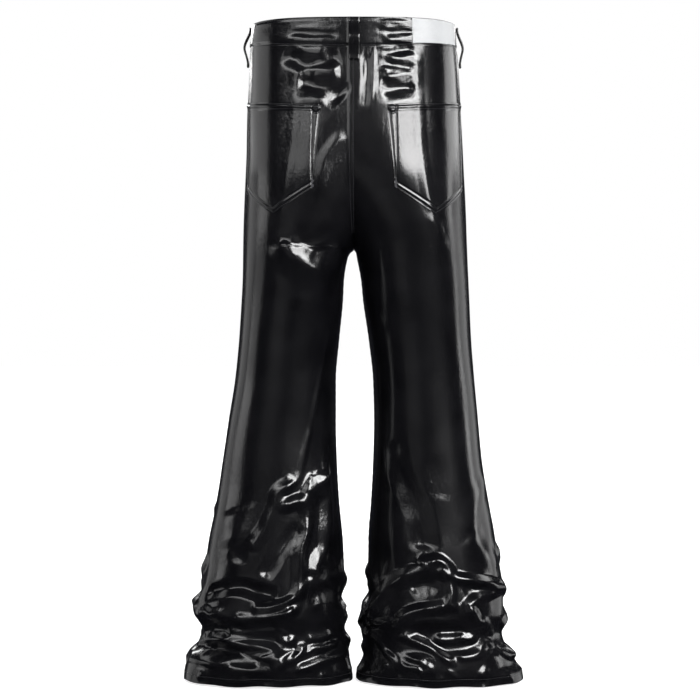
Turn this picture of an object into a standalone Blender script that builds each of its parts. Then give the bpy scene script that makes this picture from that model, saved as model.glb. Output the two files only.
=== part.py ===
"""Flared jeans in glossy coated denim, in the shape they have when worn, as the pieces that are cut and sewn.

Metres, +Z up. The garment's front faces -Y and its back +Y. left is the wearer's left, at +X.
The origin is the middle of the waist opening, level with the waistband's top edge, and all hangs below it.

Every piece is a wall whose points lie on one surface. That surface is a stack of level sections: above the
crotch a section is half of the body's ring, and below it the whole ring of one leg. A place on it is given by
side, turn and drop. turn runs from 0 at the middle of the back (below the crotch, the inseam), through 1 at the
side seam, to 2 at the middle of the front (the inseam again). drop is the distance below the waist.
All tables are in millimetres.
"""

import bmesh
import bpy
import numpy as np

MM = 0.001
SIGN = {"left": 1.0, "right": -1.0}

# Cloth and seams, in millimetres.
SEAM_GAP = 0.3
PANEL_THICK = 2.0
BAND_THICK = 3.0
POCKET_THICK = 1.5
PATCH_THICK = 1.2
FLY_THICK = 1.5
LAID_ON = 0.9  # from a panel's surface to the underside of what lies on it

# Heights, in millimetres below the waist.
BAND_BACK, BAND_SIDE, BAND_FRONT = 46.0, 35.0, 40.0  # the waistband's height at back, side and front
BAND_EASE_END = 160.0  # the curve of the waistband's seam has died out here
SEAT_START = 165.0  # the crotch seam starts to turn under here
SEAT_ROUND = 2.3
CROTCH = 344.0
LEG_CENTRED = 470.0  # from here down a leg is deepest midway between its edges
HEM = 1008.0
SIDE_SEAM_FORWARD = 10.0  # the side seam lies this far in front of the widest line

# One row for each section. outer and inner are the leg's edges, measured from the middle of the body. back and
# front are its depths from the middle plane. middle is where a half section is deepest, as a share of outer.
# square is the exponent of its rounded outline: 2 is an ellipse, and more is squarer.
SECTION_COLUMNS = (
    "drop", "outer_left", "outer_right", "inner_left", "inner_right", "back", "front", "middle", "square",
)
SECTIONS = (
    (0, 157, 156, 0, 0, 110, 109, 0.00, 2.75),
    (34, 160, 158, 0, 0, 112, 111, 0.00, 2.74),
    (65, 161, 161, 0, 0, 114.5, 112.5, 0.00, 2.71),
    (100, 163, 163, 0, 0, 118, 114, 0.04, 2.64),
    (140, 165, 165, 0, 0, 122, 115, 0.13, 2.54),
    (190, 166, 168, 0, 0, 126, 116, 0.25, 2.43),
    (236, 168, 170, 0, 0, 128, 116, 0.35, 2.36),
    (298, 170, 173, 0, 0, 124, 115, 0.46, 2.30),
    (344, 171.6, 175, 0.15, 0.15, 117, 112, 0.50, 2.264),
    (348, 171.7, 175.2, 5, 3, 116.4, 111.7, 0.50, 2.261),
    (356, 171.9, 175.5, 9.5, 4.4, 115.1, 111.1, 0.50, 2.255),
    (391, 172.6, 176.9, 15.5, 11, 109, 108, 0.50, 2.23),
    (422, 174, 178.2, 17, 14, 104, 105, 0.50, 2.215),
    (484, 178, 181, 23, 23, 95, 98, 0.50, 2.20),
    (546, 184, 186, 28, 29.5, 89, 93, 0.50, 2.20),
    (608, 194, 192, 28, 31, 87, 90, 0.50, 2.20),
    (670, 203, 198, 26.4, 29.5, 89, 90, 0.50, 2.20),
    (732, 212, 208, 23, 26.4, 92, 91, 0.50, 2.20),
    (794, 225, 218, 17, 22, 96, 93, 0.50, 2.20),
    (840, 233, 226, 15, 22, 99, 95, 0.50, 2.20),
    (871, 242, 232, 14, 18.6, 102, 98, 0.50, 2.20),
    (902, 248, 235, 14, 11, 104, 101, 0.50, 2.20),
    (933, 236, 229, 14, 11, 94, 91, 0.50, 2.20),
    (949, 236, 236, 9.3, 14, 95, 91, 0.50, 2.20),
    (964, 253, 243, 7.8, 15.5, 101, 97, 0.50, 2.20),
    (980, 259, 248, 6, 11, 102, 97, 0.50, 2.20),
    (995, 263, 259, 3, 4, 100, 95, 0.50, 2.20),
    (1008, 264, 262, 2, 3, 98, 93, 0.50, 2.20),
)

# One row for each large fold. height is how far the cloth stands out, or in where it is negative, width how fast
# that dies away beside it, and path its points as (distance from the middle of the body, drop) on that face.
FOLD_COLUMNS = ("side", "face", "height", "width", "path")
FOLDS = (
    # Seat and thighs, back.
    ("left", "back", -3.0, 16, ((84, 62), (40, 76), (14, 66))),
    ("right", "back", -3.0, 14, ((92, 66), (50, 60), (22, 72))),
    ("left", "back", 3.0, 12, ((112, 312), (98, 334), (74, 352))),
    ("left", "back", -4.0, 14, ((62, 268), (86, 288), (112, 300))),
    ("left", "back", 2.5, 9, ((28, 430), (62, 608), (72, 652), (82, 690))),
    ("right", "back", -4.0, 20, ((-56, 640), (-84, 720), (-104, 800))),
    # Left calf and hem, back.
    ("left", "back", 7.0, 14, ((47, 700), (40, 782), (54, 842))),
    ("left", "back", 7.0, 12, ((114, 737), (80, 731), (69, 748), (70, 790))),
    ("left", "back", -6.0, 14, ((82, 754), (146, 856))),
    ("left", "back", -5.0, 12, ((88, 703), (115, 720), (118, 741), (158, 812))),
    ("left", "back", 5.0, 18, ((180, 740), (176, 808))),
    ("left", "back", -7.0, 12, ((226, 884), (170, 868), (112, 880))),
    ("left", "back", 7.0, 11, ((162, 910), (120, 904), (88, 892))),
    ("left", "back", -7.0, 12, ((232, 926), (168, 926), (104, 930))),
    ("left", "back", 8.0, 11, ((226, 945), (198, 943), (148, 954), (110, 972))),
    ("left", "back", 6.0, 10, ((80, 938), (36, 938), (26, 944), (62, 958), (70, 974))),
    ("left", "back", -6.0, 12, ((66, 918), (30, 904))),
    # Right calf and hem, back.
    ("right", "back", 8.0, 14, ((-104, 822), (-60, 856), (-16, 902))),
    ("right", "back", 8.0, 11, ((-110, 820), (-132, 826), (-154, 844), (-176, 850), (-222, 862))),
    ("right", "back", 6.0, 11, ((-222, 864), (-196, 876), (-162, 898))),
    ("right", "back", -6.0, 14, ((-150, 866), (-186, 866))),
    ("right", "back", 7.0, 12, ((-142, 888), (-102, 896), (-78, 904), (-68, 916), (-78, 936), (-114, 950))),
    ("right", "back", -6.0, 13, ((-96, 922), (-160, 926))),
    ("right", "back", 6.0, 11, ((-176, 898), (-182, 922), (-172, 940), (-118, 942))),
    ("right", "back", -6.0, 16, ((-88, 872), (-56, 892))),
    ("right", "back", 6.0, 12, ((-70, 966), (-110, 972), (-118, 990))),
    # Calves and hems, front.
    ("left", "front", 6.0, 16, ((70, 742), (128, 790), (210, 806))),
    ("left", "front", -6.0, 14, ((60, 790), (120, 834), (200, 850))),
    ("left", "front", 8.0, 13, ((40, 862), (110, 884), (190, 878))),
    ("left", "front", -6.0, 12, ((60, 912), (130, 924), (210, 914))),
    ("left", "front", 8.0, 12, ((50, 952), (120, 962), (200, 948))),
    ("right", "front", 6.0, 16, ((-54, 770), (-124, 808), (-196, 796))),
    ("right", "front", -6.0, 14, ((-70, 820), (-130, 856), (-204, 840))),
    ("right", "front", 8.0, 13, ((-36, 880), (-104, 898), (-180, 890))),
    ("right", "front", -6.0, 12, ((-50, 920), (-128, 930), (-200, 924))),
    ("right", "front", 8.0, 12, ((-60, 964), (-130, 956), (-210, 970))),
    # Hips and knees, front.
    ("left", "front", -3.0, 14, ((24, 300), (80, 268), (140, 250))),
    ("right", "front", -3.0, 14, ((-24, 302), (-84, 274), (-142, 262))),
    ("left", "front", 3.0, 18, ((60, 566), (110, 584), (166, 572))),
    ("right", "front", 3.0, 18, ((-62, 590), (-116, 602), (-168, 584))),
)
FOLD_TIP = 4.0  # how round a ridge's crest is

# The leg panels' grid.
BACK_COLUMNS = 14
FRONT_COLUMNS = 10
ROW_RUNS = (  # from, to, steps
    (BAND_BACK, 300.0, 12),
    (300.0, 338.0, 4),
    (338.0, CROTCH, 2),
    (CROTCH, 356.0, 2),
    (356.0, 580.0, 9),
    (580.0, 850.0, 15),
    (850.0, HEM, 15),
)

# Pockets: distances from the middle back along the cloth, and drops.
POCKET_TOP_INNER, POCKET_TOP_OUTER = 49.0, 201.0
POCKET_LOW_INNER, POCKET_LOW_OUTER = 62.0, 198.0
POCKET_TOP_DROP_INNER, POCKET_TOP_DROP_OUTER = 133.0, 124.0
POCKET_CORNER_DROP, POCKET_TIP_DROP = 256.0, 296.0
POCKET_COLUMNS, POCKET_ROWS = 16, 8

# Patch on the waistband, on the wearer's right.
PATCH_FROM, PATCH_TO = 87.0, 178.0
PATCH_TOP, PATCH_LOW_FROM, PATCH_LOW_TO = 1.0, 38.5, 34.0

# Fly placket, over the middle of the front.
FLY_OVER, FLY_WIDE = 8.0, 36.0
FLY_TOP, FLY_LOW, FLY_CORNER = 43.0, 196.0, 150.0
FLY_COLUMNS, FLY_ROWS = 5, 8

# The waistband's ends lap at the front: the left end lies over the right one.
BAND_PROUD = 0.5
LAP_OVER, LAP_UNDER, LAP_RAMP = 20.0, 12.0, 34.0
LAP_STEP = BAND_THICK + 0.5
BAND_ROWS = 3

# Belt loops. reach is how far the loop's inside stands off the body.
LOOP_COLUMNS = ("name", "side", "distance", "face", "width", "low", "reach")
LOOPS = (
    ("loop_back", "left", 0.0, "back", 17.0, 64.0, 7.5),
    ("loop_side_left", "left", 0.0, "side", 15.0, 61.0, 7.6),
    ("loop_side_right", "right", 0.0, "side", 15.0, 62.0, 7.9),
    ("loop_front_left", "left", 62.0, "front", 15.0, 62.0, 10.0),
    ("loop_front_right", "right", 62.0, "front", 15.0, 62.0, 10.0),
)
LOOP_THICK = 2.8
LOOP_FLAT = 6.0  # each end lies flat on the cloth for this length
LOOP_SEAT = 1.5  # from the surface to the underside of a flat end
LOOP_STEPS = 12

BUTTON_RADIUS, BUTTON_THICK, BUTTON_DOME = 8.5, 3.2, 1.0
BUTTON_DROP = 20.0
BUTTON_ASIDE = -5.0  # towards the wearer's right


# ---------------------------------------------------------------- tables


def column(name):
    """One column of SECTIONS."""
    at = SECTION_COLUMNS.index(name)
    return np.array([row[at] for row in SECTIONS], float)


def section_value(name, drop):
    """A section's value at a drop, on a monotone cubic through its rows."""
    drops, values = column("drop"), column(name)
    steps = np.diff(drops)
    slopes = np.diff(values) / steps
    tangents = np.zeros(len(drops))
    product = slopes[1:] * slopes[:-1]
    total = np.where(product > 0, slopes[1:] + slopes[:-1], 1.0)
    tangents[1:-1] = np.where(product > 0, 2 * product / total, 0.0)
    k = int(np.clip(np.searchsorted(drops, drop) - 1, 0, len(steps) - 1))
    t = (drop - drops[k]) / steps[k]
    ease = t * t * (3 - 2 * t)
    bend_in = t * (1 - t) ** 2 * tangents[k]
    bend_out = t * t * (t - 1) * tangents[k + 1]
    return float(values[k] * (1 - ease) + values[k + 1] * ease + steps[k] * (bend_in + bend_out))


def smooth_step(low, high, value):
    t = np.clip((value - low) / (high - low), 0, 1)
    return t * t * (3 - 2 * t)


# ---------------------------------------------------------------- the surface


def quarter(inner_reach, middle, reach, depth, square, edge_share, steps=70):
    """Two stretches of a section on one face, from its inner end to its outer one, as x and y."""
    inward = (1 - np.linspace(0, 1, steps)) ** 2.5  # 1 at the middle, 0 at the inner end
    share = 1 - inward
    share = share[::-1]
    x_in = middle - share * (middle - inner_reach)
    y_in = depth * np.maximum(1 - (edge_share * share) ** square, 0) ** (1 / square)
    angle = np.linspace(0, np.pi / 2, steps)[1:]
    x_out = middle + (reach - middle) * np.sin(angle) ** (2 / square)
    y_out = depth * np.maximum(np.cos(angle), 0) ** (2 / square)
    return np.concatenate([x_in, x_out]), np.concatenate([y_in, y_out])


class Section:
    """The level section of one side at a drop, measured along the cloth."""

    def __init__(self, side, drop):
        outer, inner = section_value("outer_" + side, drop), section_value("inner_" + side, drop)
        square = section_value("square", drop)
        if drop < CROTCH:
            under = max(0.0, (drop - SEAT_START) / (CROTCH - SEAT_START))
            chord = (1 - under**SEAT_ROUND) ** (1 / SEAT_ROUND)
            edge_share = (1 - chord**square) ** (1 / square)
            inner, middle = 0.0, section_value("middle", drop) * outer
        else:
            edge_share = 1.0
            middle = (outer + inner * smooth_step(CROTCH, LEG_CENTRED, drop)) / 2
        back = quarter(inner, middle, outer, section_value("back", drop), square, edge_share)
        front = quarter(inner, middle, outer, section_value("front", drop), square, edge_share)
        self.x = np.concatenate([back[0], front[0][::-1][1:]])
        self.y = np.concatenate([back[1], -front[1][::-1][1:]])
        self.arc = np.concatenate([[0], np.cumsum(np.hypot(np.diff(self.x), np.diff(self.y)))])
        self.length = float(self.arc[-1])
        self.widest = float(self.arc[len(back[0]) - 1])
        self.side_seam = self.widest + SIDE_SEAM_FORWARD
        self.back_points = len(back[0])

    def arc_of_turn(self, turn):
        """How far along the cloth a turn lies."""
        turn = np.asarray(turn, float)
        front = self.side_seam + (turn - 1) * (self.length - self.side_seam)
        return np.where(turn <= 1, turn * self.side_seam, front)

    def turn_of_arc(self, arc):
        arc = np.asarray(arc, float)
        front = 1 + (arc - self.side_seam) / (self.length - self.side_seam)
        return np.where(arc <= self.side_seam, arc / self.side_seam, front)

    def arc_of_x(self, x, face):
        """How far along the cloth a point of one face lies."""
        if face == "back":
            return float(np.interp(abs(x), self.x[: self.back_points], self.arc[: self.back_points]))
        return float(np.interp(abs(x), self.x[: self.back_points - 2 : -1], self.arc[: self.back_points - 2 : -1]))

    def at(self, arc):
        """Points and outward directions, both level, at these distances along the cloth."""
        arc = np.asarray(arc, float)
        x, y = np.interp(arc, self.arc, self.x), np.interp(arc, self.arc, self.y)
        step = 2.0
        dx = np.interp(arc + step, self.arc, self.x) - np.interp(arc - step, self.arc, self.x)
        dy = np.interp(arc + step, self.arc, self.y) - np.interp(arc - step, self.arc, self.y)
        length = np.maximum(np.hypot(dx, dy), 1e-9)
        return x, y, -dy / length, dx / length


def fold_paths():
    """Each fold's path on the unrolled cloth, as (distance along the cloth, drop)."""
    paths = []
    for row in FOLDS:
        fold = dict(zip(FOLD_COLUMNS, row))
        points = [(Section(fold["side"], drop).arc_of_x(x, fold["face"]), drop) for x, drop in fold["path"]]
        if fold["face"] == "front":  # measured back from the middle of the front
            lengths = [Section(fold["side"], drop).length for _, drop in fold["path"]]
            points = [(arc - length, drop) for (arc, drop), length in zip(points, lengths)]
        paths.append((fold, np.array(points)))
    return paths


def distance_to_path(arc, drop, path):
    """How far points of the unrolled cloth lie from a path."""
    nearest = np.full(np.shape(arc), 1e9)
    for start, end in zip(path[:-1], path[1:]):
        run = end - start
        along = ((arc - start[0]) * run[0] + (drop - start[1]) * run[1]) / float(run @ run)
        along = np.clip(along, 0, 1)
        gap = np.hypot(arc - start[0] - along * run[0], drop - start[1] - along * run[1])
        nearest = np.minimum(nearest, gap)
    return nearest


def fold_height(paths, side, section, arc, drop):
    """How far the folds push the cloth out at these distances along a section."""
    total = np.zeros(np.shape(arc))
    for fold, path in paths:
        own = arc if fold["face"] == "back" else arc - section.length
        if fold["side"] != side:  # on the body a fold reaches across the middle seam
            if drop > CROTCH:
                continue
            own = -own
        gap = distance_to_path(own, drop, path)
        if drop > CROTCH:  # a leg is a closed ring, so a fold also reaches across the inseam
            for round_it in (-section.length, section.length):
                gap = np.minimum(gap, distance_to_path(own + round_it, drop, path))
        total = total + fold["height"] * np.exp(-(np.hypot(gap, FOLD_TIP) - FOLD_TIP) / fold["width"])
    fade = smooth_step(BAND_BACK, BAND_BACK + 14, drop) * (1 - 0.6 * smooth_step(HEM - 24, HEM, drop))
    return total * fade


def band_height(turn):
    """The waistband's height: tallest at the middle of the back, and least at the sides."""
    to_side = smooth_step(0, 1, np.asarray(turn, float))
    to_front = smooth_step(1, 2, np.asarray(turn, float))
    return BAND_BACK + (BAND_SIDE - BAND_BACK) * to_side + (BAND_FRONT - BAND_SIDE) * to_front


def height_of(turn, drop):
    """The height of a row's points, in millimetres: rows near the waist follow the waistband's curved seam."""
    if drop <= BAND_BACK:
        return -drop * band_height(turn) / BAND_BACK
    ease = 1 - smooth_step(BAND_BACK, BAND_EASE_END, drop)
    return -(drop + (band_height(turn) - BAND_BACK) * ease)


def surface_row(paths, side, turns, drop):
    """Points and level outward directions of one row of the surface, in the garment's frame, in millimetres."""
    section = Section(side, drop)
    arc = section.arc_of_turn(turns)
    x, y, nx, ny = section.at(arc)
    push = fold_height(paths, side, section, arc, drop)
    x, y = x + push * nx, y + push * ny
    points = np.stack([SIGN[side] * x, y, height_of(turns, drop)], -1)
    outward = np.stack([SIGN[side] * nx, ny, np.zeros(len(x))], -1)
    return points, outward


# ---------------------------------------------------------------- the grid that the panels share


def row_drops():
    drops = [ROW_RUNS[0][0]]
    for low, high, steps in ROW_RUNS:
        drops += [low + (high - low) * k / steps for k in range(1, steps + 1)]
    return drops


def grid_turns():
    back = np.linspace(0, 1, BACK_COLUMNS + 1)
    front = np.linspace(1, 2, FRONT_COLUMNS + 1)[1:]
    return np.concatenate([back, front])


def build_grid(paths):
    """The surface's grid on each side, and the cloth's normal at every point of it."""
    drops, turns = row_drops(), grid_turns()
    rows, columns = len(drops), len(turns)
    crotch_row = drops.index(CROTCH)
    points = {side: np.stack([surface_row(paths, side, turns, d)[0] for d in drops]) for side in SIGN}
    number = {"left": np.arange(rows * columns).reshape(rows, columns)}
    number["right"] = number["left"] + rows * columns
    # Points that two panels share at a seam count as one, so both walls get the same normal there.
    for edge in (0, columns - 1):
        number["right"][: crotch_row + 1, edge] = number["left"][: crotch_row + 1, edge]
    for side in SIGN:
        number[side][crotch_row:, columns - 1] = number[side][crotch_row:, 0]
    number["right"][crotch_row, [0, columns - 1]] = number["left"][crotch_row, 0]
    total = np.zeros((2 * rows * columns, 3))
    for side, sign in SIGN.items():
        p, n = points[side], number[side]
        across, down = p[1:, 1:] - p[:-1, :-1], p[1:, :-1] - p[:-1, 1:]
        face = sign * np.cross(across, down)
        for part in (n[:-1, :-1], n[1:, :-1], n[:-1, 1:], n[1:, 1:]):
            np.add.at(total, part, face)
    total /= np.maximum(np.linalg.norm(total, axis=1, keepdims=True), 1e-12)
    normals = {side: total[number[side]] for side in SIGN}
    return {"drops": np.array(drops), "turns": turns, "points": points, "normals": normals}


def on_grid(grid, side, turn, drop):
    """A point and its normal on the panels' own facets."""
    rows, columns = grid["drops"], grid["turns"]
    r = int(np.clip(np.searchsorted(rows, drop, side="right") - 1, 0, len(rows) - 2))
    c = int(np.clip(np.searchsorted(columns, turn, side="right") - 1, 0, len(columns) - 2))
    down = (drop - rows[r]) / (rows[r + 1] - rows[r])
    across = (turn - columns[c]) / (columns[c + 1] - columns[c])

    def blend(values):
        upper = values[r, c] * (1 - across) + values[r, c + 1] * across
        lower = values[r + 1, c] * (1 - across) + values[r + 1, c + 1] * across
        return upper * (1 - down) + lower * down

    normal = blend(grid["normals"][side])
    return blend(grid["points"][side]), normal / np.linalg.norm(normal)


# ---------------------------------------------------------------- meshes


def make_material(name, color, roughness, metallic=0.0, coat=0.0):
    material = bpy.data.materials.new(name)
    material.use_nodes = True
    shader = material.node_tree.nodes["Principled BSDF"]
    shader.inputs["Base Color"].default_value = (*color, 1.0)
    shader.inputs["Roughness"].default_value = roughness
    shader.inputs["Metallic"].default_value = metallic
    shader.inputs["Coat Weight"].default_value = coat
    return material


def make_object(name, bm, material, parent, smooth_degrees=50.0):
    bmesh.ops.recalc_face_normals(bm, faces=bm.faces)
    mesh = bpy.data.meshes.new(name)
    bm.to_mesh(mesh)
    bm.free()
    mesh.shade_smooth()
    mesh.set_sharp_from_angle(angle=np.radians(smooth_degrees))
    mesh.materials.append(material)
    piece = bpy.data.objects.new(name, mesh)
    bpy.context.collection.objects.link(piece)
    piece.parent = parent
    return piece


def wall(outer, inner):
    """A closed wall between two grids of points, given in millimetres."""
    bm = bmesh.new()
    rows, columns = outer.shape[:2]
    skins = [[[bm.verts.new(p * MM) for p in row] for row in skin] for skin in (outer, inner)]
    for r in range(rows - 1):
        for c in range(columns - 1):
            for skin in skins:
                bm.faces.new((skin[r][c], skin[r][c + 1], skin[r + 1][c + 1], skin[r + 1][c]))
    rim = [(0, c) for c in range(columns)] + [(r, columns - 1) for r in range(1, rows)]
    rim += [(rows - 1, c) for c in range(columns - 2, -1, -1)] + [(r, 0) for r in range(rows - 2, 0, -1)]
    for (r0, c0), (r1, c1) in zip(rim, rim[1:] + rim[:1]):
        bm.faces.new((skins[0][r0][c0], skins[0][r1][c1], skins[1][r1][c1], skins[1][r0][c0]))
    return bm


def draw_in(points, shift):
    """Moves a grid's first and last column towards its inside, along the cloth."""
    moved = points.copy()
    for edge, beside in ((0, 1), (-1, -2)):
        run = points[:, beside] - points[:, edge]
        moved[:, edge] += shift * run / np.linalg.norm(run, axis=-1, keepdims=True)
    return moved


# ---------------------------------------------------------------- pieces


def leg_panel(grid, side, face, material, parent):
    """A back or front panel of one leg, from the waistband to the hem."""
    if face == "back":
        columns = slice(0, BACK_COLUMNS + 1)
    else:
        columns = slice(BACK_COLUMNS, None)
    normals = grid["normals"][side][:, columns]
    outer = draw_in(grid["points"][side][:, columns], SEAM_GAP / 2)
    outer[0, :, 2] -= SEAM_GAP
    inner = outer - PANEL_THICK * normals
    inner[0, :, 2] = outer[0, :, 2]
    inner[-1, :, 2] = outer[-1, :, 2]
    for skin in (outer, inner):  # the two sides meet at the middle plane and stay off it
        own = np.maximum(skin[..., 0] * SIGN[side], SEAM_GAP / 2)
        skin[..., 0] = own * SIGN[side]
    make_object(f"{face}_{side}", wall(outer, inner), material, parent)


def laid_piece(grid, side, places, lift, thick):
    """A wall on a panel: places is a grid of (distance along the cloth from the middle of the back, drop)."""
    rows, columns = len(places), len(places[0])
    points, normals = np.zeros((rows, columns, 3)), np.zeros((rows, columns, 3))
    for r, row in enumerate(places):
        for c, (arc, drop) in enumerate(row):
            turn = float(Section(side, drop).turn_of_arc(arc))
            points[r, c], normals[r, c] = on_grid(grid, side, turn, drop)
    return wall(points + (lift + thick) * normals, points + lift * normals)


def pocket(grid, side, material, parent):
    """A patch pocket with a pointed foot, on the seat."""
    places = []
    for r in range(POCKET_ROWS + 1):
        down = r / POCKET_ROWS
        row = []
        for c in range(POCKET_COLUMNS + 1):
            across = c / POCKET_COLUMNS
            top = POCKET_TOP_DROP_INNER + (POCKET_TOP_DROP_OUTER - POCKET_TOP_DROP_INNER) * across
            low = POCKET_TIP_DROP - (POCKET_TIP_DROP - POCKET_CORNER_DROP) * abs(2 * across - 1)
            inner = POCKET_TOP_INNER + (POCKET_LOW_INNER - POCKET_TOP_INNER) * down
            outer = POCKET_TOP_OUTER + (POCKET_LOW_OUTER - POCKET_TOP_OUTER) * down
            row.append((inner + (outer - inner) * across, top + (low - top) * down))
        places.append(row)
    make_object(f"pocket_{side}", laid_piece(grid, side, places, LAID_ON, POCKET_THICK), material, parent)


def fly(grid, material, parent):
    """The placket over the front opening. Its lower outer corner is rounded."""
    points, normals = [], []
    for r in range(FLY_ROWS + 1):
        drop = FLY_TOP + 1.0 + (FLY_LOW - FLY_TOP) * r / FLY_ROWS
        rounding = max(0.0, (drop - FLY_CORNER) / (FLY_LOW + 1.0 - FLY_CORNER))
        wide = FLY_WIDE * np.sqrt(max(1 - 0.93 * rounding**2, 0))
        section = Section("left", drop)
        point_row, normal_row = [], []
        for c in range(FLY_COLUMNS + 1):
            aside = -FLY_OVER + (wide + FLY_OVER) * c / FLY_COLUMNS
            side = "left" if aside >= 0 else "right"
            turn = float(section.turn_of_arc(section.length - abs(aside)))
            row_drop = drop + BAND_BACK - BAND_FRONT  # rows near the waist lie higher at the front
            point, normal = on_grid(grid, side, turn, row_drop)
            point_row.append(point)
            normal_row.append(normal)
        points.append(point_row)
        normals.append(normal_row)
    points, normals = np.array(points), np.array(normals)
    solid = wall(points + (LAID_ON + FLY_THICK) * normals, points + LAID_ON * normals)
    make_object("fly", solid, material, parent)


def band_stations():
    """The waistband's columns, as (side, turn, how far it stands out), from its left end to its right end."""
    stations = []
    length = {side: Section(side, 0.0) for side in SIGN}
    left, right = length["left"], length["right"]
    lap = BAND_PROUD + LAP_STEP
    for aside in (LAP_OVER, LAP_OVER / 2):
        stations.append(("right", float(right.turn_of_arc(right.length - aside)), lap))
    turns = grid_turns()
    for turn in turns[::-1]:
        from_front = left.length - float(left.arc_of_turn(turn))
        out = BAND_PROUD + LAP_STEP * float(1 - smooth_step(LAP_UNDER + 3, LAP_UNDER + 3 + LAP_RAMP, from_front))
        stations.append(("left", float(turn), out))
    stations += [("right", float(turn), BAND_PROUD) for turn in turns[1:]]
    stations.append(("left", float(left.turn_of_arc(left.length - LAP_UNDER)), BAND_PROUD))
    return stations


def waistband(paths, material, parent):
    """One strip round the waist, whose left end laps over its right end at the front."""
    outer, inner = [], []
    for r in range(BAND_ROWS + 1):
        drop = BAND_BACK * r / BAND_ROWS
        outer_row, inner_row = [], []
        for side, turn, out in band_stations():
            points, outward = surface_row(paths, side, np.array([turn]), drop)
            if turn in (0.0, 2.0):
                outward[0, 0] = 0.0
            outer_row.append(points[0] + out * outward[0])
            inner_row.append(points[0] + (out - BAND_THICK) * outward[0])
        outer.append(outer_row)
        inner.append(inner_row)
    make_object("waistband", wall(np.array(outer), np.array(inner)), material, parent)


def patch(paths, material, parent):
    """The blank patch on the waistband, at the wearer's right of the back."""
    section = Section("right", 0.0)
    ends = [float(section.turn_of_arc(arc)) for arc in (PATCH_FROM, PATCH_TO)]
    turns = [ends[0]] + [t for t in grid_turns() if ends[0] + 0.01 < t < ends[1] - 0.01] + [ends[1]]
    lift = BAND_PROUD + 0.35
    outer, inner = [], []
    low = np.interp(turns, ends, (PATCH_LOW_FROM, PATCH_LOW_TO))
    for r in range(3):
        outer_row, inner_row = [], []
        for turn, drop in zip(turns, PATCH_TOP + (low - PATCH_TOP) * r / 2):
            row_drop = drop * BAND_BACK / float(band_height(turn))
            points, outward = surface_row(paths, "right", np.array([turn]), row_drop)
            outer_row.append(points[0] + (lift + PATCH_THICK) * outward[0])
            inner_row.append(points[0] + lift * outward[0])
        outer.append(outer_row)
        inner.append(inner_row)
    make_object("patch", wall(np.array(outer), np.array(inner)), material, parent)


def belt_loop(paths, row, material, parent):
    """A strip that stands off the waist between two flat ends."""
    loop = dict(zip(LOOP_COLUMNS, row))
    side = loop["side"]
    waist = Section(side, 0.0)
    place = {"back": loop["distance"], "front": waist.length - loop["distance"], "side": waist.widest}
    turn = float(waist.turn_of_arc(place[loop["face"]]))
    lows = np.linspace(0, 1, LOOP_STEPS + 1)
    drops = 0.8 + (loop["low"] - 0.8) * lows
    rise = smooth_step(LOOP_FLAT, LOOP_FLAT + 12, drops) * (1 - smooth_step(0, 14, drops - loop["low"] + LOOP_FLAT + 14))
    middle = []
    for drop, up in zip(drops, rise):
        row_drop = min(drop * BAND_BACK / float(band_height(turn)), BAND_BACK)
        if drop > float(band_height(turn)):
            row_drop = drop + (BAND_BACK - float(band_height(turn))) * 0.9
        points, outward = surface_row(paths, side, np.array([turn]), row_drop)
        if loop["face"] == "back":
            outward[0] = (0.0, 1.0, 0.0)
        seat = LOOP_SEAT + (loop["reach"] - LOOP_SEAT) * up + LOOP_THICK / 2
        middle.append(np.array([*(points[0] + seat * outward[0])[:2], -drop]))
    middle = np.array(middle)
    out = outward[0]
    along = np.cross((0, 0, 1.0), out)
    run = np.gradient(middle, axis=0)
    run /= np.linalg.norm(run, axis=1, keepdims=True)
    thick_way = np.cross(run, along)
    bm = bmesh.new()
    rings = []
    corners = ((-1, -1), (1, -1), (1, 1), (-1, 1))
    for centre, way in zip(middle, thick_way):
        ring = [centre + a * along * loop["width"] / 2 + b * way * LOOP_THICK / 2 for a, b in corners]
        rings.append([bm.verts.new(p * MM) for p in ring])
    for upper, lower in zip(rings[:-1], rings[1:]):
        for k in range(4):
            bm.faces.new((upper[k], upper[(k + 1) % 4], lower[(k + 1) % 4], lower[k]))
    bm.faces.new(rings[0])
    bm.faces.new(rings[-1][::-1])
    make_object(loop["name"], bm, material, parent, smooth_degrees=40.0)


def button(paths, material, parent):
    """A domed metal button on the waistband's lap."""
    side = "right" if BUTTON_ASIDE < 0 else "left"
    waist = Section(side, 0.0)
    turn = float(waist.turn_of_arc(waist.length - abs(BUTTON_ASIDE)))
    row_drop = BUTTON_DROP * BAND_BACK / BAND_FRONT
    points, outward = surface_row(paths, side, np.array([turn]), row_drop)
    back = points[0] + (BAND_PROUD + LAP_STEP + 0.7) * outward[0]
    profile = ((0, BUTTON_THICK), (0.45, BUTTON_THICK), (0.72, BUTTON_THICK - 0.6), (1, BUTTON_THICK - BUTTON_DOME))
    bm = bmesh.new()
    path = [(share * BUTTON_RADIUS, height) for share, height in profile]
    path += [(BUTTON_RADIUS, 0.6), (BUTTON_RADIUS - 0.6, 0.0), (0, 0)]
    verts = [bm.verts.new((radius * MM, 0, height * MM)) for radius, height in path]
    edges = [bm.edges.new(pair) for pair in zip(verts[:-1], verts[1:])]
    bmesh.ops.spin(bm, geom=verts + edges, axis=(0, 0, 1), cent=(0, 0, 0), angle=2 * np.pi, steps=20)
    bmesh.ops.remove_doubles(bm, verts=bm.verts, dist=0.00001)
    piece = make_object("button", bm, material, parent, smooth_degrees=30.0)
    piece.location = back * MM
    lean = np.arctan2(section_value("front", 34.0) - section_value("front", 0.0), 34.0)
    piece.rotation_euler = (np.pi / 2 - lean, 0, np.arctan2(outward[0, 0], -outward[0, 1]))


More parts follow.
